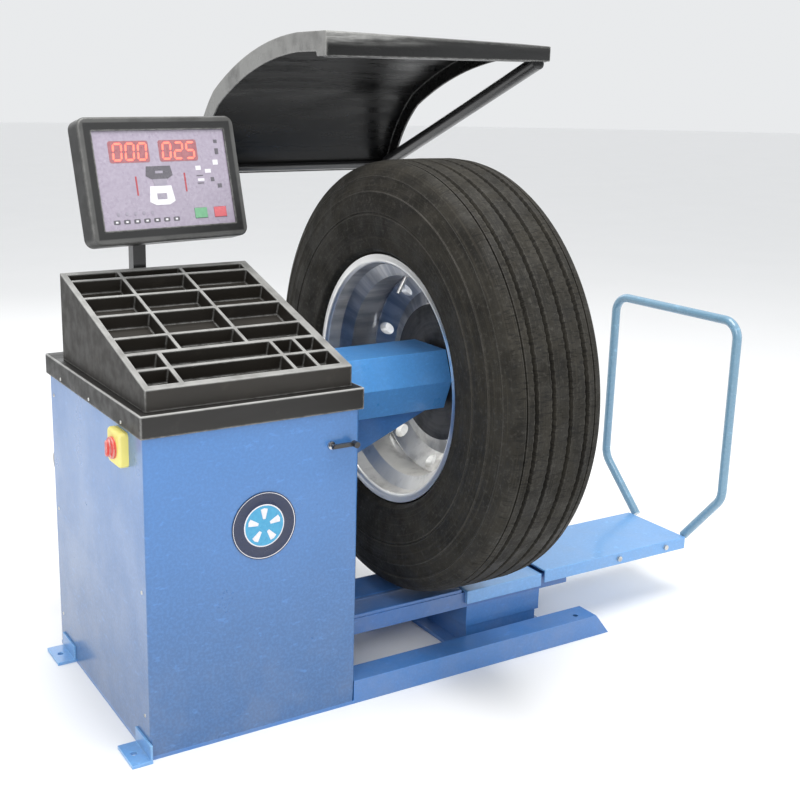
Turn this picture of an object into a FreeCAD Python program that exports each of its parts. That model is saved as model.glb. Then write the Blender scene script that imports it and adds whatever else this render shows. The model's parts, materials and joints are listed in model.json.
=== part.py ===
"""Truck wheel balancer with a wheel lift, a raised wheel guard and a truck wheel on its spindle.

X runs along the spindle from the cabinet to the wheel, Y to the back, Z up.
The origin is on the floor, at the centre of the cabinet's footprint. Millimetres.
"""
import FreeCAD, Part
import PartDesign, Sketcher
import math
import os
from FreeCAD import Placement, Rotation, Vector

DIMENSIONS = {
    # cabinet
    "cab_width": 496, "cab_depth": 612, "cab_height": 704, "sheet_gauge": 3, "floor_gauge": 8,
    "trim_height": 48, "trim_overhang": 7, "trim_wall": 11, "trim_deck": 6,
    "service_half": 100,
    # weight tray
    "tray_half_width": 236, "tray_front": 291, "tray_back": 232,
    "tray_front_height": 798, "tray_back_height": 955, "pocket_depth": 34, "tray_skin": 4,
    # display
    "post_side": 32, "post_x": -33, "post_y": 269, "post_top": 1120,
    "display_width": 415, "display_height": 289, "display_depth": 52,
    "display_x": 8, "display_y": 209, "display_z": 1160, "display_yaw": 8.7, "display_tilt": 14.2,
    # spindle
    "spindle_y": -84, "spindle_z": 698, "shaft_radius": 20, "shaft_start": 10, "shaft_shoulder": 716,
    "shaft_end": 762, "stub_radius": 16, "running_gap": 0.05,
    "housing_end": 582, "housing_half_height": 72, "housing_half_width": 95, "housing_half_flat": 67,
    "housing_gauge": 6, "tube_outer": 47, "tube_inner": 42, "tube_start": 130, "tube_end": 582,
    "bearing_width": 23, "flange_face": 612, "flange_radius": 168, "flange_gauge": 18,
    "big_pulley_radius": 90, "small_pulley_radius": 35, "pulley_width": 22, "pulley_x": 60,
    "motor_z": 440, "motor_radius": 68, "motor_length": 190, "motor_shaft_radius": 12,
    "belt_gauge": 5, "belt_width": 18,
    # truck wheel
    "rim_inboard": 447, "rim_width": 240, "rim_flange_radius": 298.5, "bead_radius": 285.75,
    "well_radius": 252, "rim_gauge": 8, "disc_gauge": 12, "hub_bore": 140.5, "stud_circle": 335,
    "stud_hole": 13, "stud_count": 10, "hand_hole": 16, "hand_circle": 456,
    "tyre_radius": 518, "tyre_inboard": 419, "tyre_width": 281,
    "groove_depth": 13, "groove_half": 5,
    # wheel guard
    "guard_left": 312, "guard_right": 958, "guard_gauge": 5, "guard_lip": 45,
    "pivot_y": 486, "pivot_z": 420, "guard_tube": 19, "guard_bar": 11,
    "pivot_left": -190, "arm_x": 930,
    # lift
    "lift_y": -117, "platform_top": 174, "platform_half": 110, "platform_start": 866,
    "platform_end": 1365, "platform_gauge": 5.5, "platform_drop": 34, "side_gauge": 4,
    "beam_start": 290, "beam_end": 955, "beam_half": 93, "beam_top": 158, "beam_bottom": 118,
    "saddle_start": 624, "saddle_end": 860, "saddle_half": 105, "saddle_gauge": 7, "saddle_bottom": 130,
    "roller_radius": 14, "roller_width": 60, "roller_first": 888, "roller_second": 930,
    "axle_radius": 5, "core_start": 640, "core_end": 860, "core_half": 85, "core_top": 100,
    "skirt_bottom": 62, "cylinder_radius": 40, "rod_radius": 14,
    "loop_x": 1377, "loop_half": 222.5, "loop_y": -105, "loop_top": 796, "loop_waist": 315,
    "loop_tube": 12, "loop_foot": 92,
    # base
    "rear_beam_y": 7, "base_beam_width": 65, "base_beam_height": 57, "base_beam_end": 1024,
    "base_beam_slope": 46, "base_wall": 4, "anchor_x": 930, "anchor_hole": 7,
    "foot_length": 90, "foot_reach": 46,
}

doc = FreeCAD.newDocument("WheelBalancer")
sheet = doc.addObject("Spreadsheet::Sheet", "Dim")
for row, (alias, value) in enumerate(DIMENSIONS.items(), start=1):
    sheet.set(f"A{row}", alias)
    sheet.set(f"B{row}", str(value))
    sheet.setAlias(f"B{row}", alias)
doc.recompute()

# places on the cabinet's walls, and on the display's head
SWITCH_Y, SWITCH_Z = -188, 658
VALVE_X, VALVE_Z = 178, 632
PIN_SETBACK, PIN_RISE, PIN_RADIUS = -24, 26, 6
KEY_X, KEY_Z = (66, 120), -96
KEY_WIDE, KEY_HIGH = 34, 24
ROLLER_Z = 154
# the tread's grooves, as shares of the tyre's width
GROOVES = (0.26, 0.42, 0.58, 0.74)

NODES = []
LEFT = "-Dim.cab_width / 2"
RIGHT = "Dim.cab_width / 2"
FRONT = "-Dim.cab_depth / 2"
BACK = "Dim.cab_depth / 2"
AXIS_TURN = {
    "X": Rotation(Vector(0, 1, 0), 90),
    "Y": Rotation(Vector(1, 0, 0), -90),
    "Z": Rotation(),
}


def dim(alias):
    """A driving dimension as a plain number."""
    return float(sheet.get(alias))


def unique(label):
    """An internal name that is free in the document."""
    return doc.getUniqueObjectName(label)


def bind(piece, **sizes):
    """Bind properties to expressions; underscores in a property's name stand for dots."""
    for name, expression in sizes.items():
        piece.setExpression(name.replace("_", "."), str(expression))


def node(piece, label):
    """Register a finished piece under the name that its file gets."""
    piece.Label = label
    NODES.append(piece)
    return piece


def box(length, width, height, x, y, z, name="Block"):
    """A block from its low corner."""
    piece = doc.addObject("Part::Box", unique(name))
    bind(piece, Length=length, Width=width, Height=height,
         Placement_Base_x=x, Placement_Base_y=y, Placement_Base_z=z)
    return piece


def rod(radius, length, x, y, z, axis="X", name="Round"):
    """A cylinder that starts at a point and runs along a positive axis."""
    piece = doc.addObject("Part::Cylinder", unique(name))
    piece.Placement = Placement(Vector(), AXIS_TURN[axis])
    bind(piece, Radius=radius, Height=length,
         Placement_Base_x=x, Placement_Base_y=y, Placement_Base_z=z)
    return piece


def cone(radius_1, radius_2, length, x, y, z, axis="X"):
    """A cone frustum that starts at a point and runs along a positive axis."""
    piece = doc.addObject("Part::Cone", unique("Taper"))
    piece.Placement = Placement(Vector(), AXIS_TURN[axis])
    bind(piece, Radius1=radius_1, Radius2=radius_2, Height=length,
         Placement_Base_x=x, Placement_Base_y=y, Placement_Base_z=z)
    return piece


def fuse(*pieces):
    """One solid from several that touch."""
    piece = doc.addObject("Part::MultiFuse", unique("Joined"))
    piece.Shapes = list(pieces)
    piece.Refine = True
    return piece


def cut(base, *tools):
    """A piece with the tools taken away."""
    piece = doc.addObject("Part::Cut", unique("Trimmed"))
    piece.Base = base
    piece.Tool = tools[0] if len(tools) == 1 else fuse(*tools)
    piece.Refine = True
    return piece


def group(*pieces):
    """Separate identical solids that share one node."""
    piece = doc.addObject("Part::Compound", unique("Group"))
    piece.Links = list(pieces)
    return piece


def feature(shape, base=Vector(), turn=Rotation()):
    """A shape made with Part's own functions, placed afterwards."""
    piece = doc.addObject("Part::Feature", unique("Form"))
    piece.Shape = shape
    piece.Placement = Placement(base, turn)
    return piece


def sketch_on(body, plane, points):
    """A closed outline on an origin plane; every corner is bound to its two expressions."""
    sketch = body.newObject("Sketcher::SketchObject", unique("Outline"))
    support = [item for item in body.Origin.OriginFeatures if item.Role == plane][0]
    sketch.AttachmentSupport = (support, [""])
    sketch.MapMode = "FlatFace"
    corners = [Vector(value_of(u), value_of(v), 0) for u, v in points]
    for index, corner in enumerate(corners):
        following = corners[(index + 1) % len(corners)]
        sketch.addGeometry(Part.LineSegment(corner, following), False)
    count = len(corners)
    for index in range(count):
        sketch.addConstraint(Sketcher.Constraint("Coincident", index, 2, (index + 1) % count, 1))
    for index, (u, v) in enumerate(points):
        for kind, expression, size, axis in (("DistanceX", u, corners[index].x, -2),
                                             ("DistanceY", v, corners[index].y, -1)):
            if size == 0:
                sketch.addConstraint(Sketcher.Constraint("PointOnObject", index, 1, axis))
                continue
            bound = sketch.addConstraint(Sketcher.Constraint(kind, -1, 1, index, 1, size))
            sketch.setExpression(f"Constraints[{bound}]", str(expression))
    return sketch


def value_of(expression):
    """The number that an expression of the sheet gives."""
    return float(sheet.evalExpression(str(expression).replace("Dim.", "")))


def turned(points):
    """A body of revolution about the spindle axis: points are distance along X and radius."""
    body = doc.addObject("PartDesign::Body", unique("Turned"))
    sketch = sketch_on(body, "XY_Plane", points)
    turn = body.newObject("PartDesign::Revolution", unique("Turning"))
    turn.Profile = sketch
    turn.ReferenceAxis = (sketch, ["H_Axis"])
    turn.Angle = 360
    body.Tip = turn
    bind(body, Placement_Base_y="Dim.spindle_y", Placement_Base_z="Dim.spindle_z")
    return body


def extruded(points, start, end):
    """A body with an outline of (y, z) expressions, from one X to another."""
    body = doc.addObject("PartDesign::Body", unique("Extruded"))
    sketch = sketch_on(body, "XY_Plane", points)
    pad = body.newObject("PartDesign::Pad", unique("Padding"))
    pad.Profile = sketch
    pad.setExpression("Length", f"({end}) - ({start})")
    body.Tip = pad
    body.Placement = Placement(Vector(), Rotation(Vector(1, 1, 1), 120))
    bind(body, Placement_Base_x=start)
    return body


# ---------------------------------------------------------------- cabinet and base
def cabinet():
    """Sheet-metal cabinet, its floor plate, rear cover and anchor feet."""
    floor = box("Dim.cab_width", "Dim.cab_depth", "Dim.floor_gauge", LEFT, FRONT, 0)
    node(floor, "cabinet_floor_plate")

    wall_height = "Dim.cab_height - Dim.floor_gauge"
    outer = box("Dim.cab_width", "Dim.cab_depth", wall_height, LEFT, FRONT, "Dim.floor_gauge")
    inner = box("Dim.cab_width - 2 * Dim.sheet_gauge", "Dim.cab_depth - 2 * Dim.sheet_gauge",
                "Dim.cab_height - Dim.sheet_gauge",
                f"{LEFT} + Dim.sheet_gauge", f"{FRONT} + Dim.sheet_gauge", 0)
    rear_window = box("Dim.cab_width - 90", 60, "Dim.cab_height - 140",
                      f"{LEFT} + 45", f"{BACK} - 30", 70)
    tube_hole = rod("Dim.tube_outer", 40, f"{RIGHT} - 20", "Dim.spindle_y", "Dim.spindle_z")
    drive_opening = box(f"{RIGHT} - Dim.sheet_gauge", "2 * Dim.service_half", 30, 0,
                        "Dim.spindle_y - Dim.service_half", "Dim.cab_height - 15")
    switch_hole = rod(16, 20, f"{LEFT} - 10", SWITCH_Y, SWITCH_Z)
    valve_hole = rod(9, 20, VALVE_X, f"{FRONT} - 10", VALVE_Z, "Y")
    node(cut(outer, inner, rear_window, tube_hole, drive_opening, switch_hole, valve_hole),
         "cabinet_shell")

    panel = box("Dim.cab_width - 50", "Dim.sheet_gauge", "Dim.cab_height - 100",
                f"{LEFT} + 25", BACK, 50)
    slots = [box(120, 20, 6, -60, f"{BACK} - 5", 180 + 22 * index) for index in range(8)]
    node(cut(panel, *slots), "rear_cover")
    screws = [rod(5, 3, x, f"{BACK} + Dim.sheet_gauge", z, "Y")
              for x in (-205, 205) for z in (70, 350, 630)]
    node(group(*screws), "rear_cover_screws")

    feet = []
    for y in (f"{FRONT} - 13", f"{BACK} - 117"):
        tab = box("Dim.foot_reach", "Dim.foot_length", "Dim.floor_gauge",
                  f"{LEFT} - Dim.foot_reach", y, 0)
        upright = box(5, "Dim.foot_length", 34, f"{LEFT} - 5", y, "Dim.floor_gauge")
        hole = rod("Dim.anchor_hole", 30, f"{LEFT} - 26", f"({y}) + Dim.foot_length / 2", -10, "Z")
        feet.append(cut(fuse(tab, upright), hole))
    node(group(*feet), "anchor_feet")


def base_beams():
    """Two hollow beams on the floor with sloped outer ends, and the plate between them."""
    node(group(base_beam(FRONT), base_beam("Dim.rear_beam_y")), "base_beams")
    plate = box(300, "Dim.rear_beam_y + Dim.cab_depth / 2 - Dim.base_beam_width", 10,
                604, f"{FRONT} + Dim.base_beam_width", 0)
    node(plate, "base_cross_plate")


def base_beam(low):
    """One beam: a welded box section whose outer end slopes down to the floor."""
    length = "Dim.base_beam_end - Dim.cab_width / 2"
    outline = [(0, 0), (length, 0), (f"{length} - Dim.base_beam_slope", "Dim.base_beam_height"),
               (0, "Dim.base_beam_height")]
    wall = "Dim.base_wall"
    cavity = [(wall, wall), (f"{length} - 2 * {wall}", wall),
              (f"{length} - Dim.base_beam_slope - {wall}", f"Dim.base_beam_height - {wall}"),
              (wall, f"Dim.base_beam_height - {wall}")]
    solids = []
    for points, width, shift in ((outline, "Dim.base_beam_width", 0),
                                 (cavity, f"Dim.base_beam_width - 2 * {wall}", wall)):
        body = doc.addObject("PartDesign::Body", unique("Beam"))
        sketch = sketch_on(body, "XZ_Plane", points)
        pad = body.newObject("PartDesign::Pad", unique("Padding"))
        pad.Profile = sketch
        pad.Reversed = True
        pad.setExpression("Length", width)
        body.Tip = pad
        bind(body, Placement_Base_x=RIGHT, Placement_Base_y=f"{low} + {shift}")
        solids.append(body)
    bolt = rod("Dim.anchor_hole", 90, "Dim.anchor_x", f"{low} + 26", -10, "Z")
    return cut(*solids, bolt)


# ---------------------------------------------------------------- top trim, tray and display
POCKETS = (
    # x from, x to, then the distances down the slope at which rows of pockets start and end
    (-222, -104, ((14, 42), (50, 132), (140, 222), (230, 326), (334, 396))),
    (-96, 52, ((14, 42), (50, 132), (140, 222), (230, 326), (334, 396))),
    (60, 216, ((14, 42), (50, 132), (140, 222), (230, 326), (334, 396))),
    (-222, -156, ((406, 464), (472, 530))),
    (-146, 104, ((406, 464), (472, 530))),
    (112, 160, ((406, 464), (472, 530))),
    (168, 216, ((406, 464), (472, 530))),
)


def top_trim():
    """Plastic cap on the cabinet that carries the tray, open for the drive, housing and post."""
    outer = box("Dim.cab_width + 2 * Dim.trim_overhang", "Dim.cab_depth + 2 * Dim.trim_overhang",
                "Dim.trim_height", f"{LEFT} - Dim.trim_overhang", f"{FRONT} - Dim.trim_overhang",
                "Dim.cab_height")
    inset = "Dim.trim_wall - Dim.trim_overhang"
    inner = box(f"Dim.cab_width - 2 * ({inset})", f"Dim.cab_depth - 2 * ({inset})",
                "Dim.trim_height - Dim.trim_deck + 20",
                f"{LEFT} + {inset}", f"{FRONT} + {inset}", "Dim.cab_height - 20")
    post_hole = box("Dim.post_side", "Dim.post_side", 40, "Dim.post_x - Dim.post_side / 2",
                    "Dim.post_y - Dim.post_side / 2", "Dim.cab_height + Dim.trim_height - 20")
    drive_opening = box(120, "2 * Dim.service_half", 40, 45,
                        "Dim.spindle_y - Dim.service_half", "Dim.cab_height + Dim.trim_height - 20")
    tube_hole = rod("Dim.tube_outer", 40, f"{RIGHT} - 20", "Dim.spindle_y", "Dim.spindle_z")
    section = hexagon("Dim.housing_half_flat", "Dim.housing_half_width", "Dim.housing_half_height")
    housing_notch = extruded(section, RIGHT, f"{RIGHT} + 40")
    node(cut(outer, inner, post_hole, drive_opening, tube_hole, housing_notch), "top_trim")


def weight_tray():
    """Sloping moulded tray: a hollow wedge with rows of pockets for balance weights."""
    base_z = "Dim.cab_height + Dim.trim_height"
    outer = extruded([("-Dim.tray_front", base_z), ("Dim.tray_back", base_z),
                      ("Dim.tray_back", "Dim.tray_back_height"),
                      ("-Dim.tray_front", "Dim.tray_front_height")],
                     "-Dim.tray_half_width", "Dim.tray_half_width")
    rise = dim("tray_back_height") - dim("tray_front_height")
    run = dim("tray_front") + dim("tray_back")
    slope = math.atan2(rise, run)
    skin, depth = dim("tray_skin"), dim("pocket_depth")
    low_z = dim("cab_height") + dim("trim_height")
    deck = (depth + skin) / math.cos(slope)
    half = dim("tray_half_width") - skin
    toe = -dim("tray_front") + 60
    hollow = prism_x([(toe, low_z - 1), (dim("tray_back") - skin, low_z - 1),
                      (dim("tray_back") - skin, dim("tray_back_height") - deck - skin)],
                     -half, half)
    pockets = []
    turn = Rotation(Vector(1, 0, 0), math.degrees(slope))
    for x_from, x_to, rows in POCKETS:
        for start, end in rows:
            base = Vector(x_from, dim("tray_back") - end * math.cos(slope),
                          dim("tray_back_height") - end * math.sin(slope))
            base += turn.multVec(Vector(0, 0, -depth))
            pocket = Part.makeBox(x_to - x_from, end - start, depth + 30)
            pockets.append(feature(pocket, base, turn))
    node(cut(outer, feature(hollow), *pockets), "weight_tray")


def prism_x(outline, start, end):
    """A straight prism from an outline of (y, z) points between two X."""
    corners = [Vector(start, y, z) for y, z in outline]
    face = Part.Face(Part.makePolygon(corners + corners[:1]))
    return face.extrude(Vector(end - start, 0, 0))


def display():
    """Post, swivel bracket, tilt pin, and the display head with its keys."""
    half = "Dim.post_side / 2"
    post = box("Dim.post_side", "Dim.post_side", "Dim.post_top - Dim.cab_height",
               f"Dim.post_x - {half}", f"Dim.post_y - {half}", "Dim.cab_height")
    socket = rod(10.05, 70, "Dim.post_x", "Dim.post_y", "Dim.post_top - 60", "Z")
    node(cut(post, socket), "display_post")

    post_base = Vector(dim("post_x"), dim("post_y"), dim("post_top"))
    head_turn = display_turn()
    stem = rod(10, 66, "Dim.post_x", "Dim.post_y", "Dim.post_top - 58", "Z")
    yaw = Rotation(Vector(0, 0, 1), dim("display_yaw"))
    plate = feature(Part.makeBox(90, 36, 8, Vector(-45, -18, 2)), post_base, yaw)
    ears = [feature(Part.makeBox(6, 30, 30, Vector(side, -28, 10)), post_base, yaw)
            for side in (-40, 34)]
    bore = feature(pin_round(PIN_RADIUS + dim("running_gap"), -60, 120), post_base, yaw)
    node(cut(fuse(stem, plate, *ears), bore), "swivel_bracket")
    pin = pin_round(PIN_RADIUS, -46, 92)
    knob = pin_round(16, 46, 18)
    node(feature(pin.fuse(knob), post_base, yaw), "tilt_pin_and_knob")

    centre = Vector(dim("display_x"), dim("display_y"), dim("display_z"))
    wide, high, deep = dim("display_width"), dim("display_height"), dim("display_depth")
    shell = rounded_block(wide, deep, high, 22, 6)
    hollow = rounded_block(wide - 8, deep - 8, high - 8, 18, 3)
    window = Part.makeBox(wide - 64, 30, high - 64,
                          Vector(-wide / 2 + 32, -deep / 2 - 10, -high / 2 + 32))
    shell = shell.cut(hollow).cut(window)
    to_pin = (head_turn.inverted()).multVec(pin_centre() - centre)
    lug = Part.makeBox(62, to_pin.y - deep / 2 + 13, 20,
                       Vector(to_pin.x - 31, deep / 2 - 1, to_pin.z - 10))
    lug_bore = Part.makeCylinder(PIN_RADIUS + dim("running_gap"), 200,
                                 Vector(to_pin.x - 100, to_pin.y, to_pin.z), Vector(1, 0, 0))
    lug = lug.cut(lug_bore)
    node(feature(shell.fuse(lug), centre, head_turn), "display_housing")

    panel = Part.makeBox(wide - 46, 3, high - 46,
                         Vector(-wide / 2 + 23, -deep / 2 + 4, -high / 2 + 23))
    keys = []
    for label, key_x in (("start_key", KEY_X[0]), ("stop_key", KEY_X[1])):
        hole = Part.makeBox(KEY_WIDE + 1, 10, KEY_HIGH + 1,
                            Vector(key_x - 0.5, -deep / 2 + 1, KEY_Z - 0.5))
        panel = panel.cut(hole)
        cap = Part.makeBox(KEY_WIDE, 5, KEY_HIGH, Vector(key_x, -deep / 2 + 2.6, KEY_Z))
        keys.append((label, cap.makeFillet(1, cap.Edges)))
    node(feature(panel, centre, head_turn), "display_panel")
    for label, cap in keys:
        node(feature(cap, centre, head_turn), label)


def display_turn():
    """Yaw of the display head about Z, then its lean backwards."""
    yaw = Rotation(Vector(0, 0, 1), dim("display_yaw"))
    return yaw * Rotation(Vector(1, 0, 0), -dim("display_tilt"))


def pin_round(radius, start, length):
    """A round on the tilt pin's axis, measured from the top of the post."""
    return Part.makeCylinder(radius, length, Vector(start, PIN_SETBACK, PIN_RISE), Vector(1, 0, 0))


def pin_centre():
    """Centre of the tilt pin in the part's frame."""
    yaw = Rotation(Vector(0, 0, 1), dim("display_yaw"))
    top = Vector(dim("post_x"), dim("post_y"), dim("post_top"))
    return top + yaw.multVec(Vector(0, PIN_SETBACK, PIN_RISE))


def rounded_block(wide, deep, high, corner, edge):
    """A block centred on its origin, with round corners seen from the front and soft edges."""
    block = Part.makeBox(wide, deep, high, Vector(-wide / 2, -deep / 2, -high / 2))
    upright = [item for item in block.Edges if abs(item.tangentAt(item.FirstParameter).y) > 0.9]
    block = block.makeFillet(corner, upright)
    rims = [item for item in block.Edges if item.BoundBox.YLength < 0.01]
    return block.makeFillet(edge, rims)


# ---------------------------------------------------------------- switch, valve and badge
def controls():
    """Main switch on the left wall, lift valve and round badge on the front, power inlet behind."""
    plate = box(6, 74, 74, f"{LEFT} - 6", SWITCH_Y - 37, SWITCH_Z - 37)
    shaft_hole = rod(6.05, 40, f"{LEFT} - 20", SWITCH_Y, SWITCH_Z)
    body = rod(15.5, 46, LEFT, SWITCH_Y, SWITCH_Z)
    node(cut(fuse(plate, body), shaft_hole), "main_switch_plate")
    knob = cone(17, 22, 20, f"{LEFT} - 28", SWITCH_Y, SWITCH_Z)
    grip = box(10, 9, 40, f"{LEFT} - 36", SWITCH_Y - 4.5, SWITCH_Z - 20)
    spindle = rod(6, 24, f"{LEFT} - 10", SWITCH_Y, SWITCH_Z)
    node(fuse(knob, grip, spindle), "main_switch_knob")

    block = box(44, 60, 50, VALVE_X - 22, f"{FRONT} + 14", VALVE_Z - 25)
    neck = rod(8.5, 26, VALVE_X, f"{FRONT} - 4", VALVE_Z, "Y")
    pivot = rod(4.05, 60, VALVE_X, f"{FRONT} - 20", VALVE_Z, "Y")
    node(cut(fuse(block, neck), pivot), "lift_valve")
    stem = rod(4, 50, VALVE_X, f"{FRONT} - 20", VALVE_Z, "Y")
    arm = box(58, 7, 9, VALVE_X - 5, f"{FRONT} - 18", VALVE_Z - 4.5)
    tip = rod(7, 16, VALVE_X + 50, f"{FRONT} - 27", VALVE_Z, "Y")
    node(fuse(stem, arm, tip), "lift_valve_lever")

    badge = rod(75, 2, 17, f"{FRONT} - 2", 478, "Y")
    node(badge, "front_badge")

    inlet = box(58, 12, 40, 120, f"{BACK} + Dim.sheet_gauge", 92)
    socket = box(40, 10, 24, 129, f"{BACK} + 8", 100)
    node(cut(inlet, socket), "power_inlet")


# ---------------------------------------------------------------- spindle, drive and electronics
def spindle():
    """Housing, bearing tube, shaft, encoder and belt drive, all about the spindle axis."""
    flat, half, high = "Dim.housing_half_flat", "Dim.housing_half_width", "Dim.housing_half_height"
    solids = []
    for inset in ("0", "Dim.housing_gauge"):
        outline = hexagon(f"{flat} - ({inset}) / 2", f"{half} - ({inset})", f"{high} - ({inset})")
        solids.append(extruded(outline, f"{RIGHT} - ({inset}) * 5", f"Dim.housing_end - ({inset})"))
    mouth = rod("Dim.tube_outer", 60, "Dim.housing_end - 40", "Dim.spindle_y", "Dim.spindle_z")
    node(cut(solids[0], solids[1], mouth), "spindle_housing")

    low = "Dim.spindle_z - Dim.housing_half_height"
    ribs = []
    for y in (-122, -54):
        face = prism_y([(dim("cab_width") / 2, value_of(low)),
                        (dim("housing_end") - 12, value_of(low)),
                        (dim("cab_width") / 2, value_of(low) - 138)], y, y + 8)
        ribs.append(feature(face))
    node(group(*ribs), "housing_gussets")

    outer = rod("Dim.tube_outer", "Dim.tube_end - Dim.tube_start", "Dim.tube_start",
                "Dim.spindle_y", "Dim.spindle_z")
    bore = rod("Dim.tube_inner", 600, "Dim.tube_start - 20", "Dim.spindle_y", "Dim.spindle_z")
    support = box(60, 150, 110, 148, -159, 552)
    node(cut(fuse(outer, support), bore), "bearing_tube")
    rings = []
    for x in ("Dim.tube_start + 4", "Dim.tube_end - 4 - Dim.bearing_width"):
        ring = rod("Dim.tube_inner", "Dim.bearing_width", x, "Dim.spindle_y", "Dim.spindle_z")
        hole = rod("Dim.shaft_radius + Dim.running_gap", 60, f"{x} - 20",
                   "Dim.spindle_y", "Dim.spindle_z")
        rings.append(cut(ring, hole))
    node(group(*rings), "spindle_bearings")
    sensors = [rod(14, 12, 178, y, 540, "Z") for y in (-140, -28)]
    node(group(*sensors), "force_sensors")
    shelf = box(240, 606, 10, 5, -303, 530)
    belt_gap = box(60, 230, 40, 40, -200, 510)
    node(cut(shelf, belt_gap), "spindle_shelf")

    radius, stub = "Dim.shaft_radius", "Dim.stub_radius"
    shoulder, flange_back = "Dim.shaft_shoulder", "Dim.flange_face - Dim.flange_gauge"
    shaft = [("Dim.shaft_start", 0), ("Dim.shaft_end", 0), ("Dim.shaft_end", f"{stub} - 2"),
             ("Dim.shaft_end - 2", stub), (shoulder, stub), (shoulder, radius),
             ("Dim.shaft_start", radius)]
    node(turned(shaft), "spindle_shaft")
    neck = "Dim.tube_inner + 6"
    plate = [(flange_back, radius), ("Dim.flange_face", radius),
             ("Dim.flange_face", "Dim.flange_radius"), (f"{flange_back} + 6", "Dim.flange_radius"),
             (f"{flange_back} + 6", neck), (flange_back, neck)]
    node(turned(plate), "backing_flange")

    wide, groove = "Dim.pulley_width", 3
    for label, rim, hub, x, y, z in (
            ("spindle_pulley", "Dim.big_pulley_radius", radius, "Dim.pulley_x",
             "Dim.spindle_y", "Dim.spindle_z"),
            ("motor_pulley", "Dim.small_pulley_radius", "Dim.motor_shaft_radius", "Dim.pulley_x",
             "Dim.spindle_y", "Dim.motor_z")):
        wheel = rod(rim, wide, x, y, z)
        cheeks = [rod(f"{rim} + {groove}", 1.8, side, y, z) for side in (x, f"{x} + {wide} - 1.8")]
        if label == "motor_pulley":
            axle = rod(hub, 70, f"{x} - 46", y, z)
            node(fuse(wheel, *cheeks, axle), label)
            continue
        hole = rod(hub, 60, f"{x} - 20", y, z)
        node(cut(fuse(wheel, *cheeks), hole), label)
    disc = rod(62, 3, 108, "Dim.spindle_y", "Dim.spindle_z")
    disc_hole = rod(radius, 20, 100, "Dim.spindle_y", "Dim.spindle_z")
    slit_circle, slit_count = 54, 24
    slits = []
    for index in range(slit_count):
        turn = 2 * math.pi * index / slit_count
        slits.append(rod(2.5, 20, 100, dim("spindle_y") + slit_circle * math.cos(turn),
                         dim("spindle_z") + slit_circle * math.sin(turn)))
    node(cut(disc, disc_hole, *slits), "encoder_disc")
    sensor = box(22, 20, 26, 98.5, -94, 742)
    slot = box(6, 30, 26, 106.5, -100, 738)
    bracket = box(30, 16, 8, 120.5, -92, "Dim.spindle_z + Dim.tube_outer")
    node(fuse(cut(sensor, slot), bracket), "encoder_sensor")

    body = rod("Dim.motor_radius", "Dim.motor_length", "Dim.pulley_x - 22 - Dim.motor_length",
               "Dim.spindle_y", "Dim.motor_z")
    bell = rod("Dim.motor_radius - 14", 16, "Dim.pulley_x - 38 - Dim.motor_length",
               "Dim.spindle_y", "Dim.motor_z")
    seat = rod("Dim.motor_shaft_radius + Dim.running_gap", 60, "Dim.pulley_x - 72",
               "Dim.spindle_y", "Dim.motor_z")
    node(cut(fuse(body, bell), seat), "motor")
    cradle = box(120, 120, 80, -130, -144, "Dim.motor_z - 90")
    hollow = rod("Dim.motor_radius", 200, -160, "Dim.spindle_y", "Dim.motor_z")
    deck = box(300, 606, 6, -245, -303, "Dim.motor_z - 96")
    node(fuse(cut(cradle, hollow), deck), "motor_shelf")
    node(feature(belt_loop()), "drive_belt")

    node(box(150, 90, 110, -232, 60, "Dim.floor_gauge"), "power_supply")
    node(box(10, 210, 160, -238, 20, 380), "computer_board")


def hexagon(flat, half, high):
    """The housing's six-sided section about the spindle axis, as expressions for (y, z)."""
    y, z = "Dim.spindle_y", "Dim.spindle_z"
    return [(f"{y} - ({half})", z), (f"{y} - ({flat})", f"{z} - ({high})"),
            (f"{y} + ({flat})", f"{z} - ({high})"), (f"{y} + ({half})", z),
            (f"{y} + ({flat})", f"{z} + ({high})"), (f"{y} - ({flat})", f"{z} + ({high})")]


def prism_y(outline, start, end):
    """A straight prism from an outline of (x, z) points between two Y."""
    corners = [Vector(x, start, z) for x, z in outline]
    face = Part.Face(Part.makePolygon(corners + corners[:1]))
    return face.extrude(Vector(0, end - start, 0))


def belt_loop():
    """Flat belt round both pulleys: the outline grown by its gauge, less the outline itself."""
    clear = 0.3
    x = dim("pulley_x") + (dim("pulley_width") - dim("belt_width")) / 2
    outer = belt_outline(clear + dim("belt_gauge"), x, dim("belt_width"))
    return outer.cut(belt_outline(clear, x, dim("belt_width")))


def belt_outline(grow, x, width):
    """Everything inside a belt that runs round the two pulleys, as one prism."""
    y, z_top, z_low = dim("spindle_y"), dim("spindle_z"), dim("motor_z")
    big, small = dim("big_pulley_radius") + grow, dim("small_pulley_radius") + grow
    lean = math.asin((big - small) / (z_top - z_low))
    points = []
    for radius, z in ((big, z_top), (small, z_low)):
        for side in (-1, 1):
            points.append(Vector(x, y + side * radius * math.cos(lean), z - radius * math.sin(lean)))
    top_left, top_right, low_left, low_right = points
    crown = Vector(x, y, z_top + big)
    toe = Vector(x, y, z_low - small)
    wire = Part.Wire([Part.Arc(top_left, crown, top_right).toShape(),
                      Part.LineSegment(top_right, low_right).toShape(),
                      Part.Arc(low_right, toe, low_left).toShape(),
                      Part.LineSegment(low_left, top_left).toShape()])
    return Part.Face(wire).extrude(Vector(width, 0, 0))


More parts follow.
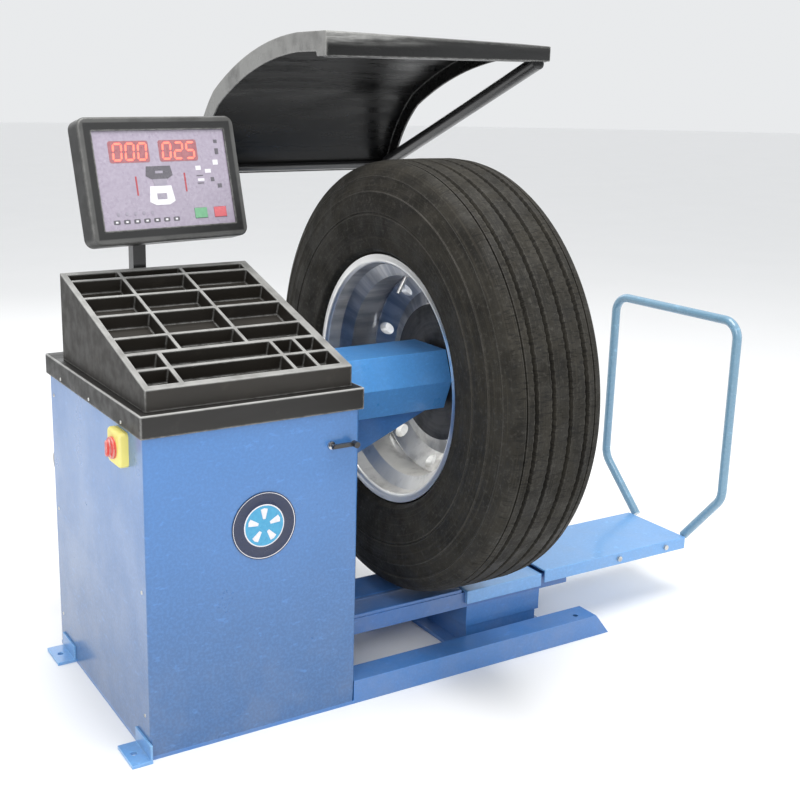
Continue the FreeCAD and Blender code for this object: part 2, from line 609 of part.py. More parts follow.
# ---------------------------------------------------------------- truck wheel and clamping parts
def truck_wheel():
    """Rim with its disc, tyre, valve, centring cone and quick nut."""
    low, wide, gauge = "Dim.rim_inboard", "Dim.rim_width", "Dim.rim_gauge"
    flange, bead, well = "Dim.rim_flange_radius", "Dim.bead_radius", "Dim.well_radius"
    high = f"{low} + {wide}"
    barrel = [(low, flange), (f"{low} + 8", flange), (f"{low} + 12", bead),
              (f"{low} + 44", f"{bead} - 3"), (f"{low} + 62", well), (f"{low} + 108", well),
              (f"{high} - 60", f"{bead} - 12"),
              (f"{high} - 12", bead), (f"{high} - 8", flange), (high, flange),
              (high, f"{bead} - {gauge}"), (f"{high} - 58", f"{bead} - 12 - {gauge}"),
              (f"{low} + 110", f"{well} - {gauge}"), (f"{low} + 58", f"{well} - {gauge}"),
              (f"{low} + 40", f"{bead} - 3 - {gauge}"), (low, f"{bead} - {gauge}")]
    ring = turned(barrel)
    face = "Dim.flange_face"
    outer_face = f"{face} + Dim.disc_gauge"
    disc = turned([(face, "Dim.hub_bore"), (outer_face, "Dim.hub_bore"), (outer_face, 205),
                   (f"{outer_face} - 24", 248), (f"{outer_face} - 24", 274), (f"{face} - 30", 274),
                   (f"{face} - 30", 248), (face, 205)])
    count = int(dim("stud_count"))
    holes = []
    for index in range(count):
        stud = 2 * math.pi * index / count
        hand = stud + math.pi / count
        holes.append(wheel_hole(dim("stud_hole"), dim("stud_circle") / 2, stud))
        holes.append(wheel_hole(dim("hand_hole"), dim("hand_circle") / 2, hand))
    valve_z = dim("spindle_z") + dim("well_radius") - dim("rim_gauge")
    valve_base = Vector(dim("rim_inboard") + 60, dim("spindle_y"), valve_z + 1)
    valve = feature(Part.makeCylinder(4.5, 46, valve_base, Vector(-0.55, 0, -1)))
    node(valve, "valve_stem")
    node(cut(fuse(ring, disc), *holes, valve), "wheel_rim")

    start, grow = "Dim.tyre_inboard", "Dim.tyre_width"
    end, top = f"{start} + {grow}", "Dim.tyre_radius"
    side = [(f"{low} + 10", bead), (f"{low} + 8", f"{flange} + 2"), (f"{start} + 10", 325),
            (start, 380), (start, 420), (f"{start} + 10", 465), (f"{start} + 26", f"{top} - 18"),
            (f"{start} + 44", f"{top} - 3")]
    ribs = []
    bottom = f"{top} - Dim.groove_depth"
    for share in GROOVES:
        centre = f"{start} + {grow} * {share}"
        ribs += [(f"{centre} - Dim.groove_half", top), (f"{centre} - Dim.groove_half + 1.5", bottom),
                 (f"{centre} + Dim.groove_half - 1.5", bottom), (f"{centre} + Dim.groove_half", top)]
    far = [(f"{end} - 44", f"{top} - 3"), (f"{end} - 26", f"{top} - 18"), (f"{end} - 10", 465),
           (end, 420), (end, 380), (f"{end} - 10", 325), (f"{high} - 8", f"{flange} + 2"),
           (f"{high} - 10", bead)]
    lining = [(f"{high} - 36", f"{bead} + 1"), (f"{end} - 18", 380), (f"{end} - 40", f"{top} - 44"),
              (f"{start} + 40", f"{top} - 44"), (f"{start} + 18", 380), (f"{low} + 36", f"{bead} + 1")]
    node(cut(turned(side + ribs + far + lining), ring), "tyre")

    hole = "Dim.shaft_radius"
    taper = [(f"{face} + 2", hole), (f"{face} + 58", hole), (f"{face} + 58", "Dim.hub_bore + 12"),
             (f"{face} + 46", "Dim.hub_bore + 12"), (outer_face, "Dim.hub_bore - 0.1"),
             (f"{face} + 2", "Dim.hub_bore - 4")]
    node(turned(taper), "centring_cone")
    bore, nut_start, nut_end = f"{hole} + Dim.running_gap", f"{face} + 58.3", f"{face} + 96"
    nut = turned([(nut_start, bore), (nut_end, bore), (nut_end, 40), (f"{nut_end} - 6", 46),
                  (nut_start, 46)])
    handles = []
    for side in (-1, 1):
        root = Vector(dim("flange_face") + 78, dim("spindle_y") + side * 42, dim("spindle_z"))
        handles.append(feature(Part.makeCylinder(8, 75, root, Vector(0, side, 0))))
    node(fuse(nut, *handles), "quick_nut")


def wheel_hole(radius, reach, angle):
    """A hole through the wheel disc, at a distance from the spindle axis and an angle."""
    return rod(radius, 120, 560, dim("spindle_y") + reach * math.cos(angle),
               dim("spindle_z") + reach * math.sin(angle))


# ---------------------------------------------------------------- wheel guard
def guard_profile():
    """Outer line of the raised guard in the YZ plane, from its front edge to its low rear edge."""
    front_low, front_top = Vector(0, -27, 1443), Vector(0, -27, 1499)
    crest, shoulder = Vector(0, 106, 1499), Vector(0, 579, 1363)
    sweep, tail_mid, tail = Vector(0, 357, 1457), Vector(0, 668, 1265), Vector(0, 724, 1131)
    return [Part.LineSegment(front_low, front_top).toShape(),
            Part.LineSegment(front_top, crest).toShape(),
            Part.Arc(crest, sweep, shoulder).toShape(),
            Part.Arc(shoulder, tail_mid, tail).toShape()]


def guard_band(depth):
    """The face between the guard's outer line and the same line moved inwards by a depth."""
    line = Part.Wire(guard_profile())
    inner = line.makeOffset2D(-depth, join=2, openResult=True)
    if inner.BoundBox.ZMax > line.BoundBox.ZMax:
        inner = line.makeOffset2D(depth, join=2, openResult=True)
    outer_ends = (line.OrderedVertexes[0].Point, line.OrderedVertexes[-1].Point)
    inner_ends = (inner.OrderedVertexes[0].Point, inner.OrderedVertexes[-1].Point)
    if (outer_ends[0] - inner_ends[0]).Length > (outer_ends[0] - inner_ends[1]).Length:
        inner_ends = inner_ends[::-1]
    caps = [Part.LineSegment(a, b).toShape() for a, b in zip(outer_ends, inner_ends)]
    return Part.Face(Part.Wire(Part.__sortEdges__(line.Edges + inner.Edges + caps)))


def wheel_guard():
    """Raised guard shell with a lip at each side, its bent carrying tube and the pivot brackets."""
    left, right, gauge = dim("guard_left"), dim("guard_right"), dim("guard_gauge")
    skin = guard_band(gauge).extrude(Vector(right - left, 0, 0))
    lip = guard_band(dim("guard_lip")).extrude(Vector(gauge, 0, 0))
    node(fuse(feature(skin, Vector(left, 0, 0)), feature(lip, Vector(left, 0, 0)),
              feature(lip, Vector(right - gauge, 0, 0))), "guard_shell")

    arm_x, radius = dim("arm_x"), dim("guard_tube")
    route = [Vector(dim("pivot_left"), dim("pivot_y"), dim("pivot_z")),
             Vector(arm_x, dim("pivot_y"), dim("pivot_z")),
             Vector(arm_x, 708, 1140), Vector(arm_x, -11, 1441.6)]
    bars = [Part.makeCylinder(dim("guard_bar"), right - left - 2 * gauge,
                              Vector(left + gauge, y, z), Vector(1, 0, 0))
            for y, z in ((703.5, 1146), (-11, 1452))]
    collars = [rod("Dim.guard_tube + 8", 14, x, "Dim.pivot_y", "Dim.pivot_z")
               for x in (-141.7, 218.3)]
    arm = feature(bent_tube(route, radius, (70, 60)))
    node(fuse(arm, *[feature(bar) for bar in bars], *collars), "guard_arm")

    brackets = []
    for x in (-170, 190):
        plate = box(10, 190, 90, x, f"{BACK} + Dim.sheet_gauge", "Dim.pivot_z - 45")
        sleeve = rod("Dim.guard_tube + 12", 46, x - 18, "Dim.pivot_y", "Dim.pivot_z")
        foot = box(60, 8, 130, x - 25, f"{BACK} + Dim.sheet_gauge", "Dim.pivot_z - 65")
        bore = rod("Dim.guard_tube + Dim.running_gap", 120, x - 50, "Dim.pivot_y", "Dim.pivot_z")
        brackets.append(cut(fuse(plate, sleeve, foot), bore))
    node(group(*brackets), "guard_pivot_brackets")


def bent_tube(route, radius, bends):
    """A round bar along straight runs joined by tangent arcs of the given radii."""
    edges = []
    start = route[0]
    for corner, before, after, bend in zip(route[1:-1], route, route[2:], bends):
        back = (before - corner).normalize()
        ahead = (after - corner).normalize()
        half = back.getAngle(ahead) / 2
        reach = bend / math.tan(half)
        first, last = corner + back * reach, corner + ahead * reach
        middle = corner + (back + ahead).normalize() * (bend / math.sin(half) - bend)
        edges.append(Part.LineSegment(start, first).toShape())
        edges.append(Part.Arc(first, middle, last).toShape())
        start = last
    edges.append(Part.LineSegment(start, route[-1]).toShape())
    circle = Part.Wire(Part.Circle(route[0], route[1] - route[0], radius).toShape())
    return Part.Wire(edges).makePipeShell([circle], True, False)


# ---------------------------------------------------------------- wheel lift
def channel(start, end, half, bottom, top, deck, side):
    """An inverted channel along X, centred on the lift."""
    outer = box(f"({end}) - ({start})", f"2 * ({half})", f"({top}) - ({bottom})",
                start, f"Dim.lift_y - ({half})", bottom)
    inner = box(f"({end}) - ({start}) + 20", f"2 * ({half} - ({side}))",
                f"({top}) - ({bottom}) - {deck} + 20",
                f"({start}) - 10", f"Dim.lift_y - ({half}) + {side}", f"({bottom}) - 20")
    return cut(outer, inner)


def lift():
    """Fixed guide box and cylinder, and the beam, cradle, saddle, skirt and rod that rise."""
    walls = box("Dim.core_end - Dim.core_start", "2 * Dim.core_half", "Dim.core_top - 10",
                "Dim.core_start", "Dim.lift_y - Dim.core_half", 10)
    well = box("Dim.core_end - Dim.core_start - 10", "2 * Dim.core_half - 10", 120,
               "Dim.core_start + 5", "Dim.lift_y - Dim.core_half + 5", 0)
    node(cut(walls, well), "lift_guide_box")
    middle = "(Dim.core_start + Dim.core_end) / 2"
    barrel = rod("Dim.cylinder_radius", 84, middle, "Dim.lift_y", 10, "Z")
    bore = rod("Dim.rod_radius + Dim.running_gap", 120, middle, "Dim.lift_y", 14, "Z")
    node(cut(barrel, bore), "lift_cylinder")
    node(rod("Dim.rod_radius", "Dim.beam_top - 5 - 66", middle, "Dim.lift_y", 66, "Z"), "lift_rod")

    beam = channel("Dim.beam_start", "Dim.beam_end", "Dim.beam_half", "Dim.beam_bottom",
                   "Dim.beam_top", 5, 5)
    slots, axles, holes = [], [], []
    for x in ("Dim.roller_first", "Dim.roller_second"):
        slots.append(box("2 * Dim.roller_radius + 8", "Dim.roller_width + 8", 40,
                         f"{x} - Dim.roller_radius - 4", "Dim.lift_y - Dim.roller_width / 2 - 4", 140))
        holes.append(rod("Dim.axle_radius", 260, x, "Dim.lift_y - 130", ROLLER_Z, "Y"))
        axles.append(rod("Dim.axle_radius", "2 * Dim.beam_half + 4", x,
                         "Dim.lift_y - Dim.beam_half - 2", ROLLER_Z, "Y"))
    node(cut(beam, *slots, *holes), "lift_beam")
    node(group(*axles), "roller_axles")
    for label, x in (("inner_roller", "Dim.roller_first"), ("outer_roller", "Dim.roller_second")):
        drum = rod("Dim.roller_radius", "Dim.roller_width", x,
                   "Dim.lift_y - Dim.roller_width / 2", ROLLER_Z, "Y")
        eye = rod("Dim.axle_radius + Dim.running_gap", 120, x, "Dim.lift_y - 60", ROLLER_Z, "Y")
        node(cut(drum, eye), label)
    cradles = []
    for side in (-1, 1):
        low, inner, outer = dim("beam_top"), dim("lift_y") + side * 4, dim("lift_y") + side * 92
        outline = [(inner, low), (outer, low), (outer, low + 9), (outer - side * 8, low + 9)]
        cradles.append(feature(prism_x(outline, dim("beam_start") + 10, dim("saddle_start") - 8)))
    node(group(*cradles), "wheel_cradle")
    saddle = channel("Dim.saddle_start", "Dim.saddle_end", "Dim.saddle_half", "Dim.saddle_bottom",
                     "Dim.beam_top + Dim.saddle_gauge", "Dim.saddle_gauge",
                     "Dim.saddle_half - Dim.beam_half")
    node(saddle, "lift_saddle")
    skirt = box("Dim.core_end - Dim.core_start + 12", "2 * Dim.core_half + 12",
                "Dim.beam_bottom - Dim.skirt_bottom",
                "Dim.core_start - 6", "Dim.lift_y - Dim.core_half - 6", "Dim.skirt_bottom")
    inside = box("Dim.core_end - Dim.core_start + 4", "2 * Dim.core_half + 4", 200,
                 "Dim.core_start - 2", "Dim.lift_y - Dim.core_half - 2", 0)
    node(cut(skirt, inside), "lift_skirt")


def carriage():
    """Sliding platform, its bolts and its push loop."""
    half = "Dim.platform_half"
    shell = channel("Dim.platform_start", "Dim.platform_end", half,
                    "Dim.platform_top - Dim.platform_drop", "Dim.platform_top",
                    "Dim.platform_gauge", "Dim.side_gauge")
    node(shell, "sliding_platform")
    heads = [rod(7, 6, x, f"Dim.lift_y - {half} - 6", "Dim.platform_top - 16", "Y")
             for x in (1120, 1290)]
    node(group(*heads), "platform_bolts")

    x, y, half_loop = dim("loop_x"), dim("loop_y"), dim("loop_half")
    foot, waist, top = dim("platform_top") - 2, dim("loop_waist"), dim("loop_top")
    near, far = y - half_loop, y + half_loop
    near_foot = Vector(x, dim("lift_y") - dim("loop_foot"), foot)
    far_foot = Vector(x, dim("lift_y") + dim("loop_foot"), foot)
    route = [near_foot, Vector(x, near, waist), Vector(x, near, top), Vector(x, far, top),
             Vector(x, far, waist), far_foot]
    loop = bent_tube(route, dim("loop_tube"), (60, 45, 45, 60))
    node(feature(loop), "push_loop")


# ---------------------------------------------------------------- checks and files
def check_document():
    """Stop on any object that failed to compute and on any node that is not a sound shape."""
    for item in doc.Objects:
        if "Invalid" in item.State or "Error" in item.State:
            raise RuntimeError(f"{item.Label} failed: {item.State}")
    for piece in NODES:
        if piece.Shape.isNull() or not piece.Shape.isValid() or not piece.Shape.Solids:
            raise RuntimeError(f"{piece.Label} is not a sound solid")


def write_steps():
    """One STEP file for each node."""
    os.makedirs("parts", exist_ok=True)
    for piece in NODES:
        piece.Shape.exportStep(os.path.join("parts", f"{piece.Label}.step"))
        extent = piece.Shape.BoundBox
        print(f"{piece.Label:24s} solids {len(piece.Shape.Solids):2d}"
              f"  x {extent.XMin:7.1f} {extent.XMax:7.1f}"
              f"  y {extent.YMin:7.1f} {extent.YMax:7.1f}"
              f"  z {extent.ZMin:7.1f} {extent.ZMax:7.1f}")
    print(len(NODES), "nodes")


for build in (cabinet, base_beams, top_trim, weight_tray, display, controls, spindle, truck_wheel,
              wheel_guard, lift, carriage):
    build()
doc.recompute()
check_document()
write_steps()
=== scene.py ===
"""Looks of the truck wheel balancer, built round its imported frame. Metres, Z up."""
import json
import math

import bmesh
import bpy
from mathutils import Matrix, Vector


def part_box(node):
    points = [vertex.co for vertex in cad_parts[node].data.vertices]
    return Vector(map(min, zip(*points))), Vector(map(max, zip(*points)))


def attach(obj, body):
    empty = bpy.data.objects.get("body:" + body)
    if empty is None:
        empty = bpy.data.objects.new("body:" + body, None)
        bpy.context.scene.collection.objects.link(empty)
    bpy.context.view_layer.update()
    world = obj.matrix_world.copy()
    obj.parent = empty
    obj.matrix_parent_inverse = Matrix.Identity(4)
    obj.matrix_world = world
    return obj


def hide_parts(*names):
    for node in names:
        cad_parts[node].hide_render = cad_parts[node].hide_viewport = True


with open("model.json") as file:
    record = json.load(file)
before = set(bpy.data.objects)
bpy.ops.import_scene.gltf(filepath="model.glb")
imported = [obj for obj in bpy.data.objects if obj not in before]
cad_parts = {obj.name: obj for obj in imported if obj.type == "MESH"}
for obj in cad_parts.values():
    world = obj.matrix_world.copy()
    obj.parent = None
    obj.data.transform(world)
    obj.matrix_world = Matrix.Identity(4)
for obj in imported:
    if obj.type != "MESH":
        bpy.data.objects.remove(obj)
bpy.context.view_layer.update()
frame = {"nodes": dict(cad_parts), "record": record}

NODES = frame["nodes"]
RECORD = frame["record"]
BODY_OF = {node: body for body, nodes in RECORD["behaviour"]["bodies"].items() for node in nodes}
SLOT_OF = {part["node"]: part["material_slot"] for part in RECORD["subparts"]}
RIM_LOW, RIM_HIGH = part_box("wheel_rim")
AXIS_Y, AXIS_Z = (RIM_LOW.y + RIM_HIGH.y) / 2, (RIM_LOW.z + RIM_HIGH.z) / 2
CABINET_LOW, CABINET_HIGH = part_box("cabinet_shell")
GUARD_LOW, GUARD_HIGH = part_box("guard_shell")
TRAY_FRONT_Z = 0.798  # height of the tray's front edge, where its slope starts
TOUCH = 1e-4  # how close to a plane an edge counts as on it


def panel_place():
    """Matrix of the display panel's face: u to the viewer's right, v up, out of the face."""
    mesh = NODES["display_panel"].data
    normal = Vector()
    for polygon in mesh.polygons:
        if polygon.normal.y < -0.5:
            normal += polygon.normal * polygon.area
    normal.normalize()
    right = (-normal).cross(Vector((0, 0, 1))).normalized()
    up = right.cross(-normal)
    spots = [vertex.co for vertex in mesh.vertices]
    middle = [(min(spot @ way for spot in spots) + max(spot @ way for spot in spots)) / 2
              for way in (right, up)]
    out = max(spot @ normal for spot in spots)
    centre = right * middle[0] + up * middle[1] + normal * out
    turn = Matrix((right, up, normal)).transposed().to_4x4()
    return Matrix.Translation(centre) @ turn


PANEL = panel_place()
PANEL_INVERSE = PANEL.inverted()


# ------------------------------------------------------------------ materials
class Finish:
    """A procedural material: one Principled shader, fed by object-space noise."""

    def __init__(self, name, **settings):
        self.material = bpy.data.materials.new(name)
        self.material.use_nodes = True
        self.tree = self.material.node_tree
        self.shader = self.tree.nodes["Principled BSDF"]
        self.place = self.add("ShaderNodeTexCoord").outputs["Object"]
        for socket, value in settings.items():
            self.shader.inputs[socket.replace("_", " ")].default_value = value

    def add(self, kind, **settings):
        """A node with its properties set."""
        made = self.tree.nodes.new(kind)
        for key, value in settings.items():
            setattr(made, key, value)
        return made

    def feed(self, socket, value):
        """Link an output to a socket, or set the socket to a plain value."""
        if isinstance(value, bpy.types.NodeSocket):
            self.tree.links.new(value, socket)
        elif isinstance(value, (tuple, list)) and len(value) == 3 and socket.type == "RGBA":
            socket.default_value = (*value, 1)
        else:
            socket.default_value = value

    def vector(self, operation, a, b=None):
        """A vector operation; its output is a number for LENGTH and DOT_PRODUCT."""
        made = self.add("ShaderNodeVectorMath", operation=operation)
        self.feed(made.inputs[0], a)
        if b is not None:
            self.feed(made.inputs[1], b)
        return made.outputs["Value" if operation in ("LENGTH", "DOT_PRODUCT") else "Vector"]

    def maths(self, operation, a, b):
        """A number operation, held between 0 and 1."""
        made = self.add("ShaderNodeMath", operation=operation, use_clamp=True)
        self.feed(made.inputs[0], a)
        self.feed(made.inputs[1], b)
        return made.outputs[0]

    def noise(self, scale, detail=4.0, roughness=0.5, stretch=(1, 1, 1), place=None):
        """Fractal noise; stretch makes it finer along an axis."""
        made = self.add("ShaderNodeTexNoise")
        self.feed(made.inputs["Vector"], self.vector("MULTIPLY", place or self.place, stretch))
        made.inputs["Scale"].default_value = scale
        made.inputs["Detail"].default_value = detail
        made.inputs["Roughness"].default_value = roughness
        return made.outputs["Fac"]

    def cells(self, scale):
        """Distance to the centre of the nearest cell, for moulded grain."""
        made = self.add("ShaderNodeTexVoronoi")
        self.feed(made.inputs["Vector"], self.place)
        made.inputs["Scale"].default_value = scale
        return made.outputs["Distance"]

    def span(self, value, low, high, start=0.0, end=1.0):
        """Map low..high smoothly to start..end."""
        made = self.add("ShaderNodeMapRange", interpolation_type="SMOOTHSTEP")
        for socket, number in zip(made.inputs, (value, low, high, start, end)):
            self.feed(socket, number)
        return made.outputs[0]

    def mix(self, factor, a, b):
        """A colour between a and b."""
        made = self.add("ShaderNodeMix", data_type="RGBA")
        self.feed(made.inputs[0], factor)
        self.feed(made.inputs[6], a)
        self.feed(made.inputs[7], b)
        return made.outputs[2]

    def bump(self, height, distance, strength=1.0, below=None):
        """A bump in metres, on top of another one if given."""
        made = self.add("ShaderNodeBump")
        made.inputs["Strength"].default_value = strength
        made.inputs["Distance"].default_value = distance
        self.feed(made.inputs["Height"], height)
        if below is not None:
            self.feed(made.inputs["Normal"], below)
        return made.outputs[0]

    def edges(self, radius, low=0.99, high=0.86):
        """1 where the surface turns within a radius, 0 on open faces."""
        soft = self.add("ShaderNodeBevel", samples=4)
        soft.inputs["Radius"].default_value = radius
        flat = self.add("ShaderNodeNewGeometry").outputs["Normal"]
        return self.span(self.vector("DOT_PRODUCT", soft.outputs[0], flat), low, high)

    def axes(self, place=None):
        """The three coordinates on their own."""
        split = self.add("ShaderNodeSeparateXYZ")
        self.feed(split.inputs[0], place or self.place)
        return split.outputs

    def height(self, low, high):
        """0 below one height of the object and 1 above another."""
        return self.span(self.axes()[2], low, high)

    def band(self, value, near, far):
        """1 where a number's size is between near and far, fading on both sides."""
        size = self.add("ShaderNodeMath", operation="ABSOLUTE")
        self.feed(size.inputs[0], value)
        fade = (far - near) / 2
        return self.maths("MULTIPLY", self.span(size.outputs[0], near - fade, near),
                          self.span(size.outputs[0], far + fade, far))

    def from_axis(self):
        """Offset from the spindle axis, without its part along the axis, and its length."""
        moved = self.vector("SUBTRACT", self.place, (0, AXIS_Y, AXIS_Z))
        flat = self.vector("MULTIPLY", moved, (0, 1, 1))
        return flat, self.vector("LENGTH", flat)

    def round_place(self, along, across, turn):
        """Coordinates about the spindle axis: even rings that slowly change round the turn."""
        flat, radius = self.from_axis()
        ring = self.add("ShaderNodeCombineXYZ")
        self.feed(ring.inputs[1], radius)
        rings = self.vector("MULTIPLY", ring.outputs[0], (1, across, 1))
        lengths = self.vector("MULTIPLY", self.place, (along, 0, 0))
        turning = self.vector("MULTIPLY", self.vector("NORMALIZE", flat), (0, turn, turn))
        return self.vector("ADD", self.vector("ADD", rings, lengths), turning)

    def finish(self, **inputs):
        """Feed the shader and give the material back."""
        for socket, value in inputs.items():
            self.feed(self.shader.inputs[socket.replace("_", " ")], value)
        return self.material


def shade(colour, factor):
    """A colour made lighter or darker."""
    return tuple(min(1.0, part * factor) for part in colour)


def paint(name, colour, roughness=0.34, dirt=0.5, wear=0.5, shading=0.0):
    """Powder coat: orange peel, broad tone changes, scuffs, floor dust and rubbed edges.

    shading is painted shade: it darkens the coat towards the floor."""
    f = Finish(name, Coat_Weight=0.7, Coat_Roughness=0.14)
    tone = f.mix(f.noise(2.3, 3), shade(colour, 0.86), shade(colour, 1.12))
    # painted shade: the coat darker towards the floor, as strong as shading asks
    painted_shade = f.span(f.height(-0.05, 0.75), 0, 1, shading, 0)
    tone = f.mix(painted_shade, tone, shade(colour, 0.30))
    mottle = f.span(f.noise(150, 5, 0.6), 0.42, 0.62, 0, 0.16)
    tone = f.mix(mottle, tone, shade(colour, 1.5))
    scuffs = f.span(f.noise(34, 9, 0.62, (1, 1, 2.2)), 0.585, 0.70, 0, 0.45 * wear)
    tone = f.mix(scuffs, tone, shade(colour, 1.75))
    low = f.maths("SUBTRACT", 1.0, f.height(0.0, 0.32))
    dust = f.maths("MULTIPLY", f.span(f.noise(11, 7, 0.6), 0.38, 0.72), low)
    tone = f.mix(f.maths("MULTIPLY", dust, dirt), tone, (0.30, 0.29, 0.27))
    rubbed = f.maths("MULTIPLY", f.edges(0.0035), f.span(f.noise(55, 5), 0.34, 0.62, 0.25, 1))
    tone = f.mix(f.maths("MULTIPLY", rubbed, 0.55 * wear), tone, shade(colour, 2.1))
    gloss = f.span(f.noise(7, 6, 0.6), 0.3, 0.75, roughness - 0.07, roughness + 0.13)
    peel = f.bump(f.noise(420, 2), 0.00025, 0.5)
    dents = f.bump(f.noise(9, 2), 0.0012, 0.25, peel)
    return f.finish(Base_Color=tone, Roughness=gloss, Normal=dents)


def moulded(name, colour, roughness=0.5, grain=700, edge=0.10, streak=0.0, crown=None, shine=0.5):
    """Moulded plastic: fine grain, handling marks and a painted highlight along the edges, with
    some edge wear.

    crown gives a function of the finish that is 1 where a painted highlight lightens the surface."""
    f = Finish(name, Specular_IOR_Level=shine)
    tone = f.mix(f.noise(6, 5), shade(colour, 0.75), shade(colour, 1.5))
    marks = f.span(f.noise(24, 9, 0.65, (1, 1.6, 1)), 0.56, 0.74, 0, 0.35)
    tone = f.mix(marks, tone, shade(colour, 3.2))
    patchy = f.span(f.noise(70, 4), 0.3, 0.6, 0.35, 1)
    # painted highlight, patchy like wear: edges lightened towards the grey given by edge
    rim = f.maths("MULTIPLY", f.edges(0.006, 0.995, 0.93), patchy)
    tone = f.mix(f.maths("MULTIPLY", rim, 0.8), tone, (edge, edge, edge * 0.97))
    if crown:
        # painted highlight where crown is 1
        even = f.span(f.noise(18, 5), 0.3, 0.6, 0.62, 1)
        tone = f.mix(f.maths("MULTIPLY", crown(f), even), tone, (edge, edge, edge * 0.97))
    long = f.noise(30, 6, 0.55, (0.12, 1, 1))
    gloss = f.span(long, 0.3, 0.7, roughness - 0.08 - streak, roughness + 0.10)
    skin = f.bump(f.cells(grain), 0.0003, 0.45)
    return f.finish(Base_Color=tone, Roughness=gloss,
                    Normal=f.bump(f.noise(grain * 0.7, 3), 0.0002, 0.4, skin))


def above_slope(f):
    """1 on the weight tray's sloping rim and dividers, 0 in its pockets and on its walls."""
    low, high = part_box("weight_tray")
    front, back = Vector((0, low.y, TRAY_FRONT_Z)), Vector((0, high.y, high.z))
    run = back - front
    normal = Vector((0, -run.z, run.y)).normalized()
    above = f.vector("DOT_PRODUCT", f.vector("SUBTRACT", f.place, tuple(front)), tuple(normal))
    # painted highlight on the tray's sloping rim and divider tops
    return f.span(above, -0.0030, -0.0004, 0, 0.85)


def trim_rim(f):
    """1 along the top outer edge of the cabinet's trim."""
    _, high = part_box("top_trim")
    x, y, z = f.axes(f.vector("ABSOLUTE", f.place))
    outside = f.maths("MAXIMUM", f.span(x, high.x - 0.0045, high.x - 0.0015),
                      f.span(y, high.y - 0.0045, high.y - 0.0015))
    # painted highlight along the trim's top outer edge
    return f.maths("MULTIPLY", outside, f.span(z, high.z - 0.0045, high.z - 0.0010, 0, 0.9))


def bezel_edge(f):
    """1 on the rolled outer edge of the display's face."""
    moved = f.vector("SUBTRACT", f.place, tuple(PANEL.translation))
    across = f.vector("DOT_PRODUCT", moved, tuple(PANEL.col[0].xyz))
    upward = f.vector("DOT_PRODUCT", moved, tuple(PANEL.col[1].xyz))
    # painted highlight on the bezel's rolled outer edge
    sides = f.maths("MAXIMUM", f.band(across, 0.1965, 0.2045), f.band(upward, 0.1335, 0.1415))
    return f.maths("MULTIPLY", sides, 0.22)


def guard_ends(f):
    """1 on the guard's outer side flanges and along its front top edge."""
    low, high = GUARD_LOW, GUARD_HIGH
    x, y, z = f.axes()
    # painted reflection of the pale sky on the outer side flanges
    side = f.span(x, low.x + 0.0035, low.x + 0.0005, 0, 0.75)
    # painted highlight in streaks along the front strip's top, strongest at the left
    crest = f.maths("MULTIPLY", f.span(z, high.z - 0.036, high.z - 0.012),
                    f.span(x, low.x + 0.36, low.x + 0.02, 0.12, 0.95))
    front = f.maths("MULTIPLY", f.span(y, low.y + 0.050, low.y + 0.015), crest)
    streaks = f.span(f.noise(26, 6, 0.6, (0.25, 1, 3)), 0.35, 0.62, 0.2, 1)
    return f.maths("MAXIMUM", side, f.maths("MULTIPLY", front, streaks))


def steel(name, colour, roughness=0.28, lines=260.0, metal=1.0):
    """Machined metal: turning marks about the spindle axis, stains and oily patches."""
    f = Finish(name, Metallic=metal)
    place = f.round_place(lines, lines, 1.2)
    rings = f.noise(1.0, 4, 0.6, place=place)
    stain = f.span(f.noise(16, 7, 0.6), 0.42, 0.70)
    tone = f.mix(stain, shade(colour, 1.08), shade(colour, 0.62))
    gloss = f.span(rings, 0.25, 0.75, roughness - 0.10, roughness + 0.16)
    return f.finish(Base_Color=tone, Roughness=gloss, Normal=f.bump(rings, 0.0002, 0.35))


def polished_rim(name):
    """Polished forged alloy: bright streaks along the barrel, haze and water marks, a painted
    reflection darker and bluer above the axis and a painted highlight on the inboard lip.
    """
    f = Finish(name, Metallic=1.0)
    rings = f.noise(1.0, 4, 0.55, place=f.round_place(420, 420, 1.5))
    streaks = f.noise(1.0, 5, 0.55, place=f.round_place(4, 4, 9))
    smudge = f.span(f.noise(13, 7, 0.62), 0.46, 0.66)
    # painted reflection of the blue housing: darker and bluer above the axis, bright below
    low = f.maths("SUBTRACT", 1.0, f.height(AXIS_Z - 0.10, AXIS_Z + 0.16))
    tone = f.mix(low, (0.34, 0.36, 0.41), (0.86, 0.85, 0.82))
    tone = f.mix(f.maths("MULTIPLY", f.span(streaks, 0.35, 0.65), 0.45), tone, (0.95, 0.94, 0.92))
    tone = f.mix(f.maths("MULTIPLY", smudge, 0.45), tone, (0.30, 0.29, 0.28))
    # painted highlight: the inboard flange lip lightened almost to white
    lip_highlight = f.span(f.axes()[0], RIM_LOW.x + 0.009, RIM_LOW.x + 0.006)
    tone = f.mix(lip_highlight, tone, (0.97, 0.97, 0.96))
    gloss = f.span(f.noise(9, 6, 0.55), 0.35, 0.68, 0.32, 0.46)
    return f.finish(Base_Color=tone, Roughness=gloss, Normal=f.bump(rings, 0.00012, 0.2))


